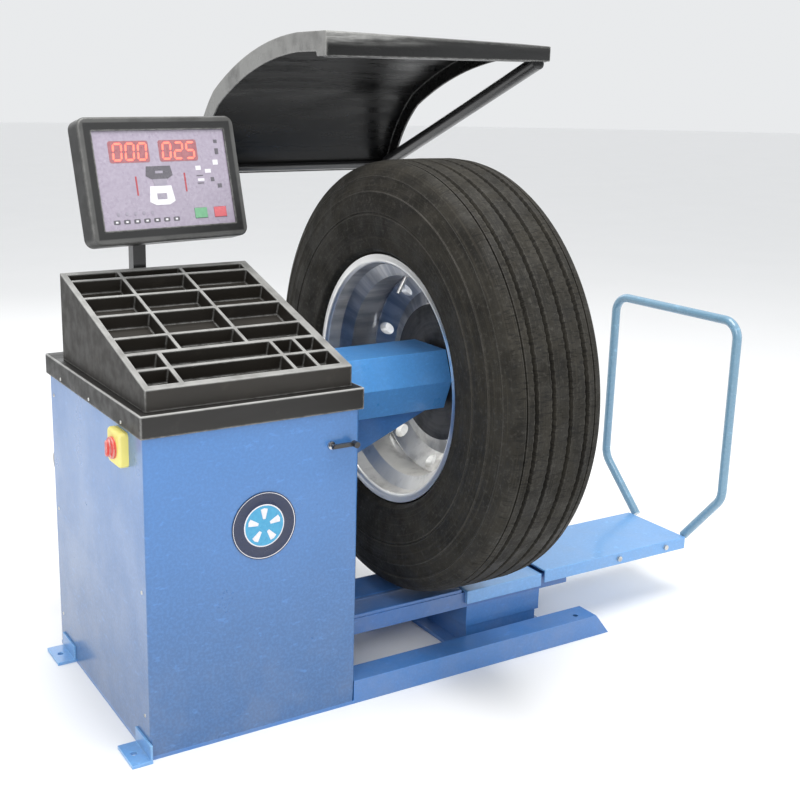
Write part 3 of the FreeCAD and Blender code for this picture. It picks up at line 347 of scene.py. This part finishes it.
def rubber(name, colour):
    """Used tyre rubber: brown-grey bloom, fine rings on the walls, dust, pits and tread slits
    drawn as painted shade.
    """
    f = Finish(name, Specular_IOR_Level=0.28)
    rings = f.noise(1.0, 3, 0.5, place=f.round_place(330, 330, 2.0))
    wipe = f.noise(1.0, 6, 0.62, place=f.round_place(16, 16, 5))
    tone = f.mix(f.span(wipe, 0.3, 0.7), shade(colour, 0.62), shade(colour, 1.65))
    tone = f.mix(f.span(rings, 0.5, 0.72, 0, 0.5), tone, shade(colour, 3.0))
    dust = f.span(f.noise(110, 9, 0.70), 0.50, 0.70, 0, 0.75)
    tone = f.mix(dust, tone, (0.050, 0.047, 0.040))
    tone = f.mix(f.maths("MULTIPLY", f.edges(0.004), 0.35), tone, (0.12, 0.115, 0.105))
    gloss = f.span(f.noise(20, 6), 0.3, 0.7, 0.62, 0.88)
    tread = f.span(f.from_axis()[1], 0.500, 0.509)
    # painted shade: dark lines for tread slits that the mesh does not cut
    slits = f.span(f.noise(1.0, 2, 0.5, place=f.round_place(55, 1, 130)), 0.54, 0.62)
    slits = f.maths("MULTIPLY", slits, tread)
    tone = f.mix(f.maths("MULTIPLY", slits, 0.7), tone, shade(colour, 0.35))
    pits = f.bump(f.noise(360, 5, 0.65), 0.0010, 0.7)
    return f.finish(Base_Color=tone, Roughness=gloss, Normal=f.bump(rings, 0.0008, 0.6, pits))


def printed(name, low, high):
    """Printed or tinted film with a faint mottle between two colours."""
    f = Finish(name, Coat_Weight=0.3, Coat_Roughness=0.12)
    tone = f.mix(f.noise(120, 5, 0.6), low, high)
    gloss = f.span(f.noise(30, 5), 0.3, 0.7, 0.22, 0.40)
    return f.finish(Base_Color=tone, Roughness=gloss, Normal=f.bump(f.noise(900, 2), 0.0001, 0.3))


def glowing(name, colour, strength):
    """Lit segments behind tinted film, a little uneven."""
    f = Finish(name, Emission_Strength=strength, Roughness=0.35)
    tone = f.mix(f.noise(160, 3), shade(colour, 0.75), colour)
    return f.finish(Base_Color=tone, Emission_Color=tone)


FINISHES = {
    "blue_paint": paint("blue powder coat", (0.050, 0.172, 0.44), 0.34, 0.15),
    "light_blue_paint": paint("light blue powder coat", (0.13, 0.32, 0.63), 0.38, 0.2, 1.0),
    "dark_blue_paint": paint("scuffed blue powder coat", (0.036, 0.130, 0.36), 0.40, 0.3, 0.9),
    "grey_blue_paint": paint("grey-blue tube paint", (0.15, 0.28, 0.39), 0.28, 0.2, 0.9),
    "black_plastic": moulded("black grained plastic", (0.011, 0.010, 0.009), 0.50, 700, 0.26),
    # guard_ends paints a reflection on the side flanges and a highlight on the front strip
    "guard_plastic": moulded("black formed sheet", (0.007, 0.007, 0.007), 0.30, 260, 0.34, 0.06,
                             guard_ends, 0.22),
    "panel_film": printed("lilac panel film", (0.24, 0.20, 0.27), (0.42, 0.38, 0.46)),
    "green_key": printed("green key", (0.10, 0.30, 0.16), (0.20, 0.45, 0.26)),
    "red_key": printed("red key", (0.50, 0.08, 0.10), (0.68, 0.16, 0.18)),
    "yellow_plastic": moulded("yellow switch plate", (0.72, 0.60, 0.16), 0.36, 900, 0.85),
    "red_plastic": moulded("red switch knob", (0.52, 0.035, 0.025), 0.30, 900, 0.6),
    "badge_enamel": printed("badge enamel", (0.006, 0.012, 0.040), (0.012, 0.024, 0.075)),
    "machined_steel": steel("machined steel", (0.56, 0.56, 0.57)),
    "dark_steel": steel("blackened steel", (0.10, 0.10, 0.105), 0.45, 120, 0.9),
    "rim_alloy": polished_rim("polished rim alloy"),
    "tyre_rubber": rubber("tyre rubber", (0.0135, 0.0120, 0.0090)),
    "belt_rubber": rubber("belt rubber", (0.02, 0.02, 0.02)),
    "motor_grey": paint("motor grey enamel", (0.17, 0.19, 0.21), 0.4),
    "board_green": moulded("circuit board", (0.03, 0.16, 0.07), 0.4),
    "zinc_steel": steel("zinc plated steel", (0.62, 0.62, 0.60), 0.34, 90),
    "black_steel": paint("black powder coat", (0.014, 0.014, 0.015), 0.36, 0.2, 0.8),
}
DIGIT_RED = glowing("lit red segments", (1.0, 0.16, 0.11), 1.5)
# tray, trim and display plastics: their crown masks paint a highlight on their edges
TRAY_PLASTIC = moulded("black tray plastic", (0.015, 0.0125, 0.0095), 0.52, 600, 0.34,
                       crown=above_slope)
TRIM_PLASTIC = moulded("black trim plastic", (0.011, 0.010, 0.009), 0.48, 700, 0.40,
                       crown=trim_rim)
BEZEL_PLASTIC = moulded("black display plastic", (0.010, 0.010, 0.010), 0.40, 700, 0.30,
                        crown=bezel_edge)
# the cabinet's blue coat, with painted shade towards the floor (shading 0.58)
CABINET_BLUE = paint("cabinet blue powder coat", (0.056, 0.185, 0.46), 0.34, 0.12, 0.5, 0.58)
# painted light: a lighter copy of the blue coat, for the housing's brightly lit top
HOUSING_LIT_BLUE = paint("blue powder coat with painted light", (0.085, 0.30, 0.68), 0.34, 0.1)
GLOW_RED = printed("red haze round the segments", (0.20, 0.05, 0.06), (0.42, 0.17, 0.19))
BAR_RED = printed("dark red print", (0.30, 0.03, 0.04), (0.45, 0.06, 0.07))
PRINT_DARK = printed("dark grey print", (0.06, 0.055, 0.07), (0.13, 0.12, 0.14))
PRINT_MID = printed("mid grey print", (0.22, 0.20, 0.25), (0.36, 0.33, 0.40))
PRINT_WHITE = printed("white print", (0.60, 0.59, 0.62), (0.82, 0.81, 0.84))
BADGE_BLUE = printed("badge light blue", (0.03, 0.24, 0.46), (0.07, 0.40, 0.62))

for label, node in NODES.items():
    for material_slot in node.material_slots:
        material_slot.material = FINISHES[SLOT_OF[label]]


# ------------------------------------------------------------------ mesh helpers
def piece(name, mesh, body, slot, stands_for=(), material=None):
    """An object that rides on a body and takes a slot's finish."""
    made = bpy.data.objects.new(name, mesh)
    bpy.context.scene.collection.objects.link(made)
    if material or not mesh.materials:
        mesh.materials.clear()
        mesh.materials.append(material or FINISHES[slot])
    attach(made, body)
    if stands_for:
        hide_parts(*stands_for)
    return made


def smooth(mesh, degrees):
    """Smooth shading, with creases kept where faces meet at more than an angle."""
    mesh.shade_smooth()
    mesh.set_sharp_from_angle(angle=math.radians(degrees))


def to_mesh(bm, name):
    """The mesh of a finished bmesh."""
    mesh = bpy.data.meshes.new(name)
    bm.to_mesh(mesh)
    bm.free()
    return mesh


def bridge(bm, one, other):
    """Quads between two closed rings with the same number of points."""
    count = len(one)
    for here in range(count):
        after = (here + 1) % count
        bm.faces.new((one[here], one[after], other[after], other[here]))


def rounded(node, width, segments=2, limit=32, where=None, then=None, material=None, bend=None):
    """The node's own shape with its sharp edges rounded off.

    where picks the edges by their middle; then is a second, smaller width for the others;
    bend moves each point first."""
    bm = bmesh.new()
    bm.from_mesh(NODES[node].data)
    bmesh.ops.remove_doubles(bm, verts=bm.verts, dist=1e-5)
    bmesh.ops.dissolve_limit(bm, angle_limit=math.radians(0.4), verts=bm.verts, edges=bm.edges)
    if bend:
        for vertex in bm.verts:
            vertex.co = bend(vertex.co)
    for offset, steps, chosen in ((width, segments, where), (then, 2, None)):
        if offset is None:
            continue
        edges = [edge for edge in bm.edges
                 if edge.is_manifold and edge.calc_face_angle(0) > math.radians(limit)
                 and (chosen is None or chosen((edge.verts[0].co + edge.verts[1].co) / 2))]
        bmesh.ops.bevel(bm, geom=edges, offset=offset, segments=steps, profile=0.5,
                        affect="EDGES", clamp_overlap=True)
    mesh = to_mesh(bm, f"{node}_form")
    smooth(mesh, limit + 8)
    made = piece(f"{node}_finished", mesh, BODY_OF[node], SLOT_OF[node], (node,), material)
    made.modifiers.new("weighted normals", "WEIGHTED_NORMAL").keep_sharp = True


def lathe(name, outline, steps, wave):
    """A closed outline of (x, radius) points turned about the spindle axis.

    wave gives the shift along x of each point at each turn."""
    bm = bmesh.new()
    rings = []
    for index in range(steps):
        turn = 2 * math.pi * index / steps
        ring = []
        for number, (x, radius) in enumerate(outline):
            ring.append(bm.verts.new((x + wave(number, turn), AXIS_Y + radius * math.cos(turn),
                                      AXIS_Z + radius * math.sin(turn))))
        rings.append(ring)
    for index, ring in enumerate(rings):
        bridge(bm, ring, rings[(index + 1) % steps])
    bmesh.ops.recalc_face_normals(bm, faces=bm.faces)
    return to_mesh(bm, name)


def plates(name, outlines, place, thickness):
    """Thin flat plates: outlines of (u, v) points, set in a plane by its matrix."""
    bm = bmesh.new()
    for outline in outlines:
        low = [bm.verts.new(place @ Vector((u, v, 0))) for u, v in outline]
        high = [bm.verts.new(place @ Vector((u, v, thickness))) for u, v in outline]
        bm.faces.new(high)
        bm.faces.new(low[::-1])
        bridge(bm, low, high)
    bmesh.ops.recalc_face_normals(bm, faces=bm.faces)
    return to_mesh(bm, name)


def pill(x, y, wide, high, corner):
    """A rectangle about a centre, with round corners."""
    points = []
    for cx, cy, start in ((1, 1, 0), (-1, 1, 90), (-1, -1, 180), (1, -1, 270)):
        for step in range(0, 91, 15):
            angle = math.radians(start + step)
            points.append((x + cx * (wide / 2 - corner) + corner * math.cos(angle),
                           y + cy * (high / 2 - corner) + corner * math.sin(angle)))
    return points


def stacked(name, place, *stacks):
    """Closed solids made of matching outlines stacked along a plane's normal."""
    bm = bmesh.new()
    for stack in stacks:
        rings = [[bm.verts.new(place @ Vector((u, v, out))) for u, v in outline]
                 for out, outline in stack]
        bm.faces.new(rings[0][::-1])
        bm.faces.new(rings[-1])
        for lower, upper in zip(rings, rings[1:]):
            bridge(bm, lower, upper)
    bmesh.ops.recalc_face_normals(bm, faces=bm.faces)
    mesh = to_mesh(bm, name)
    smooth(mesh, 40)
    return mesh


def domed_heads(name, centres, direction, radius, height):
    """Button-head screws with a round socket, all pointing one way."""
    turn = Vector((0, 0, 1)).rotation_difference(direction).to_matrix().to_4x4()
    steps = 24
    angles = [2 * math.pi * k / steps for k in range(steps)]
    dome = ((1.0, 0), (1.0, 0.18), (0.93, 0.50), (0.78, 0.78), (0.56, 0.95), (0.42, 1.0))
    socket = (0.40, 0.45)
    bm = bmesh.new()
    for centre in centres:
        place = Matrix.Translation(centre) @ turn
        rings = [[bm.verts.new(place @ Vector((share * radius * math.cos(angle),
                                               share * radius * math.sin(angle),
                                               rise * height))) for angle in angles]
                 for share, rise in (*dome, socket)]
        for outer, inner in zip(rings, rings[1:]):
            bridge(bm, outer, inner)
        bm.faces.new(rings[-1])
        bm.faces.new(rings[0][::-1])
    mesh = to_mesh(bm, name)
    smooth(mesh, 40)
    return mesh


# ------------------------------------------------------------------ cabinet, base and lift
def at_corner(middle):
    """True on the cabinet's four upright corners."""
    low, high = CABINET_LOW, CABINET_HIGH
    return (min(abs(middle.x - low.x), abs(middle.x - high.x)) < TOUCH
            and min(abs(middle.y - low.y), abs(middle.y - high.y)) < TOUCH)


rounded("cabinet_shell", 0.006, 4, where=at_corner, then=0.0007, material=CABINET_BLUE)
rounded("rear_cover", 0.0010, material=CABINET_BLUE)
rounded("weight_tray", 0.0016, material=TRAY_PLASTIC)
rounded("top_trim", 0.0025, material=TRIM_PLASTIC)
rounded("spindle_housing", 0.0024, material=HOUSING_LIT_BLUE)
for label, width in (
        ("anchor_feet", 0.0015), ("base_beams", 0.0012), ("base_cross_plate", 0.0012),
        ("housing_gussets", 0.0012), ("sliding_platform", 0.0018), ("lift_beam", 0.0016),
        ("lift_saddle", 0.0022), ("wheel_cradle", 0.0016), ("lift_skirt", 0.0008),
        ("lift_guide_box", 0.0012), ("power_inlet", 0.0015), ("lift_valve_lever", 0.0012),
        ("display_post", 0.0015), ("swivel_bracket", 0.0010), ("guard_pivot_brackets", 0.0012)):
    rounded(label, width)


def on_guard_corner(middle):
    """True on the guard's outer front edge and its outer end corners."""
    low, high = GUARD_LOW, GUARD_HIGH
    return ((abs(middle.x - (low.x + high.x) / 2) < 0.05 and middle.z > high.z - 0.02
             and middle.y < low.y + 0.08)
            or (min(abs(middle.x - low.x), abs(middle.x - high.x)) < TOUCH
                and middle.y < low.y + 0.05))


def droop(spot):
    """The guard's top sheet, a little lower towards its right front corner."""
    most, reach_back, fade_from, fade_over = 0.020, 0.25, 0.040, 0.030
    along = (spot.x - GUARD_LOW.x) / (GUARD_HIGH.x - GUARD_LOW.x)
    forward = max(0, 1 - (spot.y - GUARD_LOW.y) / reach_back)
    top = min(1, max(0, (spot.z - GUARD_HIGH.z + fade_from) / fade_over))
    return spot - Vector((0, 0, most * along ** 1.4 * forward * top))


rounded("guard_shell", 0.011, 4, where=on_guard_corner, then=0.0016, bend=droop)


def on_rim_lip(middle):
    """True on the inner edge of the wheel's inboard flange."""
    radius = math.hypot(middle.y - AXIS_Y, middle.z - AXIS_Z)
    return abs(middle.x - RIM_LOW.x) < 1e-3 and radius < (RIM_HIGH.z - RIM_LOW.z) / 2 - 0.010


rounded("wheel_rim", 0.010, 6, limit=25, where=on_rim_lip, then=0.0034)


def side_screws():
    """Small screws that hold the folded side panels and the trim."""
    low, high = CABINET_LOW, CABINET_HIGH
    deep, tall = high.y - low.y, high.z - low.z
    near, far = 0.045, 0.955
    shares = ((near, 0.12), (near, 0.52), (far, 0.12), (far, 0.52), (far, 0.93))
    side_radius, trim_radius, head = 0.0042, 0.0040, 0.002
    for name, x, way in (("left_side_screws", low.x, -1), ("right_side_screws", high.x, 1)):
        spots = [Vector((x, low.y + deep * u, low.z + tall * v)) for u, v in shares]
        mesh = domed_heads(name, spots, Vector((way, 0, 0)), side_radius, head)
        piece(name, mesh, "base", "zinc_steel")
    trim_low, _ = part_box("top_trim")
    first, apart, above = 0.11, 0.20, 0.010
    spots = [Vector((trim_low.x, trim_low.y + first + apart * k, trim_low.z + above))
             for k in range(3)]
    mesh = domed_heads("trim_screws", spots, Vector((-1, 0, 0)), trim_radius, head)
    piece("trim_screws", mesh, "base", "zinc_steel")


side_screws()


def rotary_switch():
    """A yellow switch body with a round red knob and a raised grip."""
    low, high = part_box("main_switch_plate")
    knob_low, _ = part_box("main_switch_knob")
    centre = (low + high) / 2
    place = Matrix(((0, 0, -1, 0), (1, 0, 0, centre.y), (0, 1, 0, centre.z), (0, 0, 0, 1)))
    back, tip = -high.x, -knob_low.x
    beyond_plate, knob_radius = 0.014, 0.023
    face = beyond_plate - low.x
    side = min(high.y - low.y, high.z - low.z)
    mesh = stacked("switch_body", place, [
        (out, pill(0, 0, side - less, side - less, corner))
        for out, less, corner in ((back, 0, 0.010), (face - 0.005, 0, 0.010),
                                  (face - 0.0015, 0.004, 0.009), (face, 0.010, 0.008))])
    piece("switch_body", mesh, "base", "yellow_plastic", ("main_switch_plate",))
    disc = []
    for out, share in ((-0.001, 1), (0.006, 1), (0.0075, 0.93), (0.0080, 0.55), (0.0070, 0.50)):
        size = knob_radius * share
        disc.append((face + out, pill(0, 0, 2 * size, 2 * size, size * 0.999)))
    grip = [(face + 0.006, pill(0, 0, 0.011, 0.036, 0.005)),
            (tip - 0.0015, pill(0, 0, 0.010, 0.034, 0.0045)),
            (tip, pill(0, 0, 0.008, 0.032, 0.0035))]
    mesh = stacked("switch_knob", place, disc, grip)
    piece("switch_knob", mesh, "switch_knob", "red_plastic", ("main_switch_knob",))


rotary_switch()


# ------------------------------------------------------------------ tyre
def tyre_skin():
    """Tyre turned from a full section: ringed walls, shoulders and a grooved tread."""
    low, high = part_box("tyre")
    top = (high.z - low.z) / 2
    left, right = low.x, high.x
    middle = (left + right) / 2
    flange = (RIM_HIGH.z - RIM_LOW.z) / 2
    bead = flange - 0.0118
    # from the bead over the rim's flange, up the ringed wall and round the shoulder
    half = [(RIM_LOW.x + 0.0125, bead), (RIM_LOW.x + 0.0120, flange + 0.0015),
            (RIM_LOW.x - 0.004, flange + 0.006), (left + 0.0165, flange + 0.012),
            (left + 0.0145, flange + 0.0165), (left + 0.0150, flange + 0.020),
            (left + 0.0085, 0.345), (left + 0.0035, 0.366), (left + 0.0012, 0.384),
            (left + 0.0004, 0.392), (left + 0.0026, 0.394), (left + 0.0026, 0.3965),
            (left + 0.0002, 0.3985), (left, 0.410), (left + 0.0012, 0.426),
            (left + 0.0038, 0.4400), (left + 0.0030, 0.4425), (left + 0.0036, 0.4450),
            (left + 0.0066, 0.4462), (left + 0.0105, 0.4600), (left + 0.0150, 0.4740),
            (left + 0.0160, 0.4780), (left + 0.0145, 0.4800), (left + 0.0165, 0.4835),
            (left + 0.0205, 0.4930), (left + 0.0235, 0.5000), (left + 0.0285, 0.5068),
            (left + 0.0350, 0.5112)]
    # the narrow groove beside the shoulder, then the two wide grooves of this half
    tread = [(left + 0.0440, 0.5140), (left + 0.0480, 0.5146), (left + 0.0488, 0.5090),
             (left + 0.0518, 0.5090), (left + 0.0526, 0.5151)]
    groove = ((-0.0062, 0), (-0.0052, 0.0012), (-0.0032, 0.0115), (-0.0022, 0.0128),
              (0.0022, 0.0128), (0.0032, 0.0115), (0.0052, 0.0012), (0.0062, 0))
    deep, deep_wave = 0.01, 0.4
    crown_drop, crown_reach = 0.0012, 0.09
    wavy = {}  # share of the zigzag that each point of the outline follows
    for share in (0.26, 0.42):
        centre = left + (right - left) * share
        crown = top - crown_drop * abs(centre - middle) / crown_reach
        for x, drop in groove:
            wavy[len(half) + len(tread)] = 1 if drop < deep else deep_wave
            tread.append((centre + x, crown - drop))
    tread.append((middle - 0.0012, top))
    line = half + tread
    mirrored = [(2 * middle - x, radius) for x, radius in line[::-1]]
    for number, share in list(wavy.items()):
        wavy[2 * len(line) - 1 - number] = share
    inside_wall, inside_tread, wall_radius = 0.020, 0.045, 0.385
    lining = [(RIM_HIGH.x - 0.030, bead + 0.0012), (right - inside_wall, wall_radius),
              (right - inside_tread, top - 0.040), (left + inside_tread, top - 0.040),
              (left + inside_wall, wall_radius), (RIM_LOW.x + 0.030, bead + 0.0012)]
    waves, swing = 168, 0.0010

    def zigzag(number, turn):
        """Side-to-side shift of the groove walls round the tread."""
        phase = (turn * waves / (2 * math.pi)) % 1
        return wavy.get(number, 0) * swing * (4 * abs(phase - 0.5) - 1)

    mesh = lathe("tyre_form", line + mirrored + lining, 2 * waves, zigzag)
    smooth(mesh, 38)
    piece("tyre_finished", mesh, "spindle", "tyre_rubber", ("tyre",))


tyre_skin()


# ------------------------------------------------------------------ display
def on_bezel_outside(middle):
    """True on the display housing's outer edges, away from its window."""
    half_wide, half_high = 0.196, 0.132
    spot = PANEL_INVERSE @ middle
    return abs(spot.x) > half_wide or abs(spot.y) > half_high


rounded("display_housing", 0.014, 5, where=on_bezel_outside, then=0.0028,
        material=BEZEL_PLASTIC)

SEGMENTS = {"0": "abcdef", "2": "abged", "5": "afgcd"}


def digit(value, x, y, height):
    """Outlines of a slanted seven-segment digit with its low left corner at x, y."""
    wide, half, gap, slant = height * 0.56, height * 0.0625, height * 0.03, 0.10
    mid = height / 2
    runs = {"a": ((0, height), (wide, height)), "g": ((0, mid), (wide, mid)),
            "d": ((0, 0), (wide, 0)), "f": ((0, mid), (0, height)),
            "b": ((wide, mid), (wide, height)), "e": ((0, 0), (0, mid)),
            "c": ((wide, 0), (wide, mid))}
    outlines = []
    for name in SEGMENTS[value]:
        (ax, ay), (bx, by) = runs[name]
        if ay == by:
            ax, bx = ax + gap, bx - gap
            points = [(ax, ay), (ax + half, ay + half), (bx - half, by + half), (bx, by),
                      (bx - half, by - half), (ax + half, ay - half)]
        else:
            ay, by = ay + gap, by - gap
            points = [(ax, ay), (ax - half, ay + half), (bx - half, by - half), (bx, by),
                      (bx + half, by - half), (ax + half, ay + half)]
        outlines.append([(x + px + py * slant, y + py) for px, py in points])
    return outlines


def block(x, y, wide, high):
    """A rectangle about a centre."""
    return [(x - wide / 2, y - high / 2), (x + wide / 2, y - high / 2),
            (x + wide / 2, y + high / 2), (x - wide / 2, y + high / 2)]


def display_print():
    """Readouts, wheel diagram, bars and key legends on the display's face, in generic shapes."""
    height, foot, apart = 0.037, 0.046, 0.032
    digits = []
    for start, text in ((-0.128, "000"), (0.001, "025")):
        for index, value in enumerate(text):
            digits += digit(value, start + index * apart, foot, height)
    wheel_top = [(-0.048, 0.030), (-0.052, 0.008), (-0.038, 0.000), (0.006, 0.000),
                 (0.020, 0.008), (0.016, 0.030)]
    wheel_low = [(-0.044, -0.016), (-0.050, -0.052), (-0.034, -0.060), (0.002, -0.060),
                 (0.018, -0.052), (0.012, -0.016)]
    waist = [(-0.036, 0.000), (-0.031, -0.016), (-0.001, -0.016), (0.004, 0.000)]
    glow = [pill(-0.086, 0.0645, 0.104, 0.050, 0.006), pill(0.044, 0.0645, 0.104, 0.050, 0.006)]
    white = [wheel_low, block(0.092, 0.022, 0.014, 0.010), block(0.118, 0.014, 0.016, 0.009),
             block(0.142, 0.034, 0.014, 0.012), block(0.096, -0.006, 0.018, 0.006)]
    dark = [wheel_top, block(0.094, 0.004, 0.018, 0.0025), block(0.094, -0.014, 0.018, 0.0025),
            block(0.128, -0.006, 0.010, 0.010), block(0.146, -0.022, 0.012, 0.010),
            block(0.150, 0.060, 0.010, 0.014), block(0.150, 0.084, 0.010, 0.008)]
    middle = [waist, block(-0.016, -0.040, 0.026, 0.014), block(-0.016, 0.016, 0.020, 0.006)]
    for index in range(7):
        key = -0.142 + 0.026 * index
        dark.append(pill(key, -0.094, 0.017, 0.010, 0.003))
        white.append(block(key, -0.094, 0.006, 0.004))
    for index in range(5):
        middle.append(pill(-0.136 + 0.022 * index, -0.076, 0.008, 0.008, 0.0035))
    bars = [block(-0.078, -0.014, 0.004, 0.044), block(0.052, -0.010, 0.004, 0.044)]
    for name, outlines, material, thickness in (
            ("readout_windows", glow, GLOW_RED, 0.0003),
            ("readout_digits", digits, DIGIT_RED, 0.0006),
            ("display_bars", bars, BAR_RED, 0.0004),
            ("display_dark_print", dark, PRINT_DARK, 0.00035),
            ("display_grey_print", middle, PRINT_MID, 0.0007),
            ("display_white_print", white, PRINT_WHITE, 0.0005)):
        mesh = plates(name, outlines, PANEL, thickness)
        piece(name, mesh, "display_head", "panel_film", material=material)


display_print()


# ------------------------------------------------------------------ badge
def badge():
    """Plain round badge: a navy ring with a bright edge round a light blue wheel sign."""
    low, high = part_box("front_badge")
    centre = (low + high) / 2
    radius = (high.x - low.x) / 2
    face = high.y
    navy, blue, white = range(3)
    sunk = 0.0015
    # share of the radius, distance out of the cabinet's face, material
    rings = ((1, 0.0008, navy), (1, 0.0018, navy), (1 - 0.002 / radius, 0.0020, navy),
             (0.970, 0.0020, white), (0.955, 0.0016, navy), (0.63, 0.0016, navy),
             (0.62, 0.0020, white), (0.595, 0.0020, white), (0.585, sunk, blue),
             (0.12, sunk, blue))
    steps = 96
    angles = [2 * math.pi * k / steps for k in range(steps)]
    bm = bmesh.new()
    loops = [[bm.verts.new((centre.x + radius * share * math.cos(angle), face - out,
                            centre.z + radius * share * math.sin(angle))) for angle in angles]
             for share, out, _ in rings]
    for index, (outer, inner) in enumerate(zip(loops, loops[1:])):
        for k in range(steps):
            after = (k + 1) % steps
            quad = bm.faces.new((outer[k], inner[k], inner[after], outer[after]))
            quad.material_index = rings[index + 1][2] or rings[index][2]
    bm.faces.new(loops[-1]).material_index = blue
    bm.faces.new(loops[0][::-1])
    bmesh.ops.recalc_face_normals(bm, faces=bm.faces)
    mesh = to_mesh(bm, "badge_form")
    smooth(mesh, 30)
    for material in (FINISHES["badge_enamel"], BADGE_BLUE, PRINT_WHITE):
        mesh.materials.append(material)
    piece("badge_finished", mesh, "base", "badge_enamel", ("front_badge",))

    place = Matrix(((1, 0, 0, centre.x), (0, 0, -1, face - sunk), (0, 1, 0, centre.z),
                    (0, 0, 0, 1)))
    outline = ((0.50, 0.22), (0.52, 0.0), (0.50, -0.22), (0.20, -0.20), (0.20, 0.20))
    count = 5
    spokes = []
    for index in range(count):
        middle = 2 * math.pi * index / count + math.pi / 2
        spokes.append([(radius * share * math.cos(middle + off),
                        radius * share * math.sin(middle + off)) for share, off in outline])
    mesh = plates("badge_spokes", spokes, place, 0.0006)
    piece("badge_spokes", mesh, "base", "badge_enamel", material=PRINT_WHITE)


badge()


# ------------------------------------------------------------------ floor, light and camera
def studio():
    """Pale floor and sky, with soft light from above, both sides and behind."""
    world = bpy.data.worlds.new("studio")
    bpy.context.scene.world = world
    world.use_nodes = True
    ground = world.node_tree.nodes["Background"]
    ground.inputs["Color"].default_value = (0.97, 0.985, 1.0, 1)
    ground.inputs["Strength"].default_value = 0.84

    bm = bmesh.new()
    bmesh.ops.create_circle(bm, cap_ends=True, radius=40, segments=96)
    mesh = to_mesh(bm, "floor")
    floor = bpy.data.objects.new("floor", mesh)
    bpy.context.scene.collection.objects.link(floor)
    f = Finish("pale floor")
    tone = f.mix(f.noise(1.4, 5), (0.89, 0.892, 0.895), (0.92, 0.921, 0.923))
    gloss = f.span(f.noise(3, 4), 0.3, 0.7, 0.48, 0.62)
    mesh.materials.append(f.finish(Base_Color=tone, Roughness=gloss))

    aim = Vector((0.45, 0.05, 0.70))
    for name, spot, size, power, colour in (
            ("overhead", (0.3, -0.6, 4.2), 2.6, 150, (1.0, 0.99, 0.97)),
            ("key", (-2.6, -3.6, 3.0), 2.0, 60, (1.0, 0.985, 0.96)),
            ("fill", (3.6, -2.6, 1.9), 2.6, 25, (0.95, 0.98, 1.0)),
            ("back", (1.2, 3.8, 2.8), 2.6, 30, (0.97, 0.99, 1.0))):
        light = bpy.data.lights.new(name, "AREA")
        light.shape = "SQUARE"
        light.size = size
        light.energy = power
        light.color = colour
        lamp = bpy.data.objects.new(name, light)
        lamp.location = spot
        lamp.rotation_euler = (aim - Vector(spot)).to_track_quat("-Z", "Y").to_euler()
        bpy.context.scene.collection.objects.link(lamp)


def camera():
    """The main view, close to the photograph's own: yaw turns from +Y towards +X."""
    yaw, pitch, roll = (math.radians(angle) for angle in (29.54, -13.92, 0.65))
    stand = Vector((-1.0317, -2.389, 1.3811))
    ahead = Vector((math.sin(yaw) * math.cos(pitch), math.cos(yaw) * math.cos(pitch),
                    math.sin(pitch)))
    level = Vector((math.cos(yaw), -math.sin(yaw), 0))
    upright = level.cross(ahead)
    right = level * math.cos(roll) + upright * math.sin(roll)
    up = upright * math.cos(roll) - level * math.sin(roll)
    made = bpy.data.cameras.new("camera")
    made.sensor_width, made.lens = 36, 52.9
    made.shift_x, made.shift_y = 0.10, -0.03
    view = bpy.data.objects.new("camera", made)
    turn = Matrix((right, up, -ahead)).transposed().to_4x4()
    view.matrix_world = Matrix.Translation(stand) @ turn
    bpy.context.scene.collection.objects.link(view)
    bpy.context.scene.camera = view


studio()
camera()
bpy.context.scene.view_settings.view_transform = "Standard"
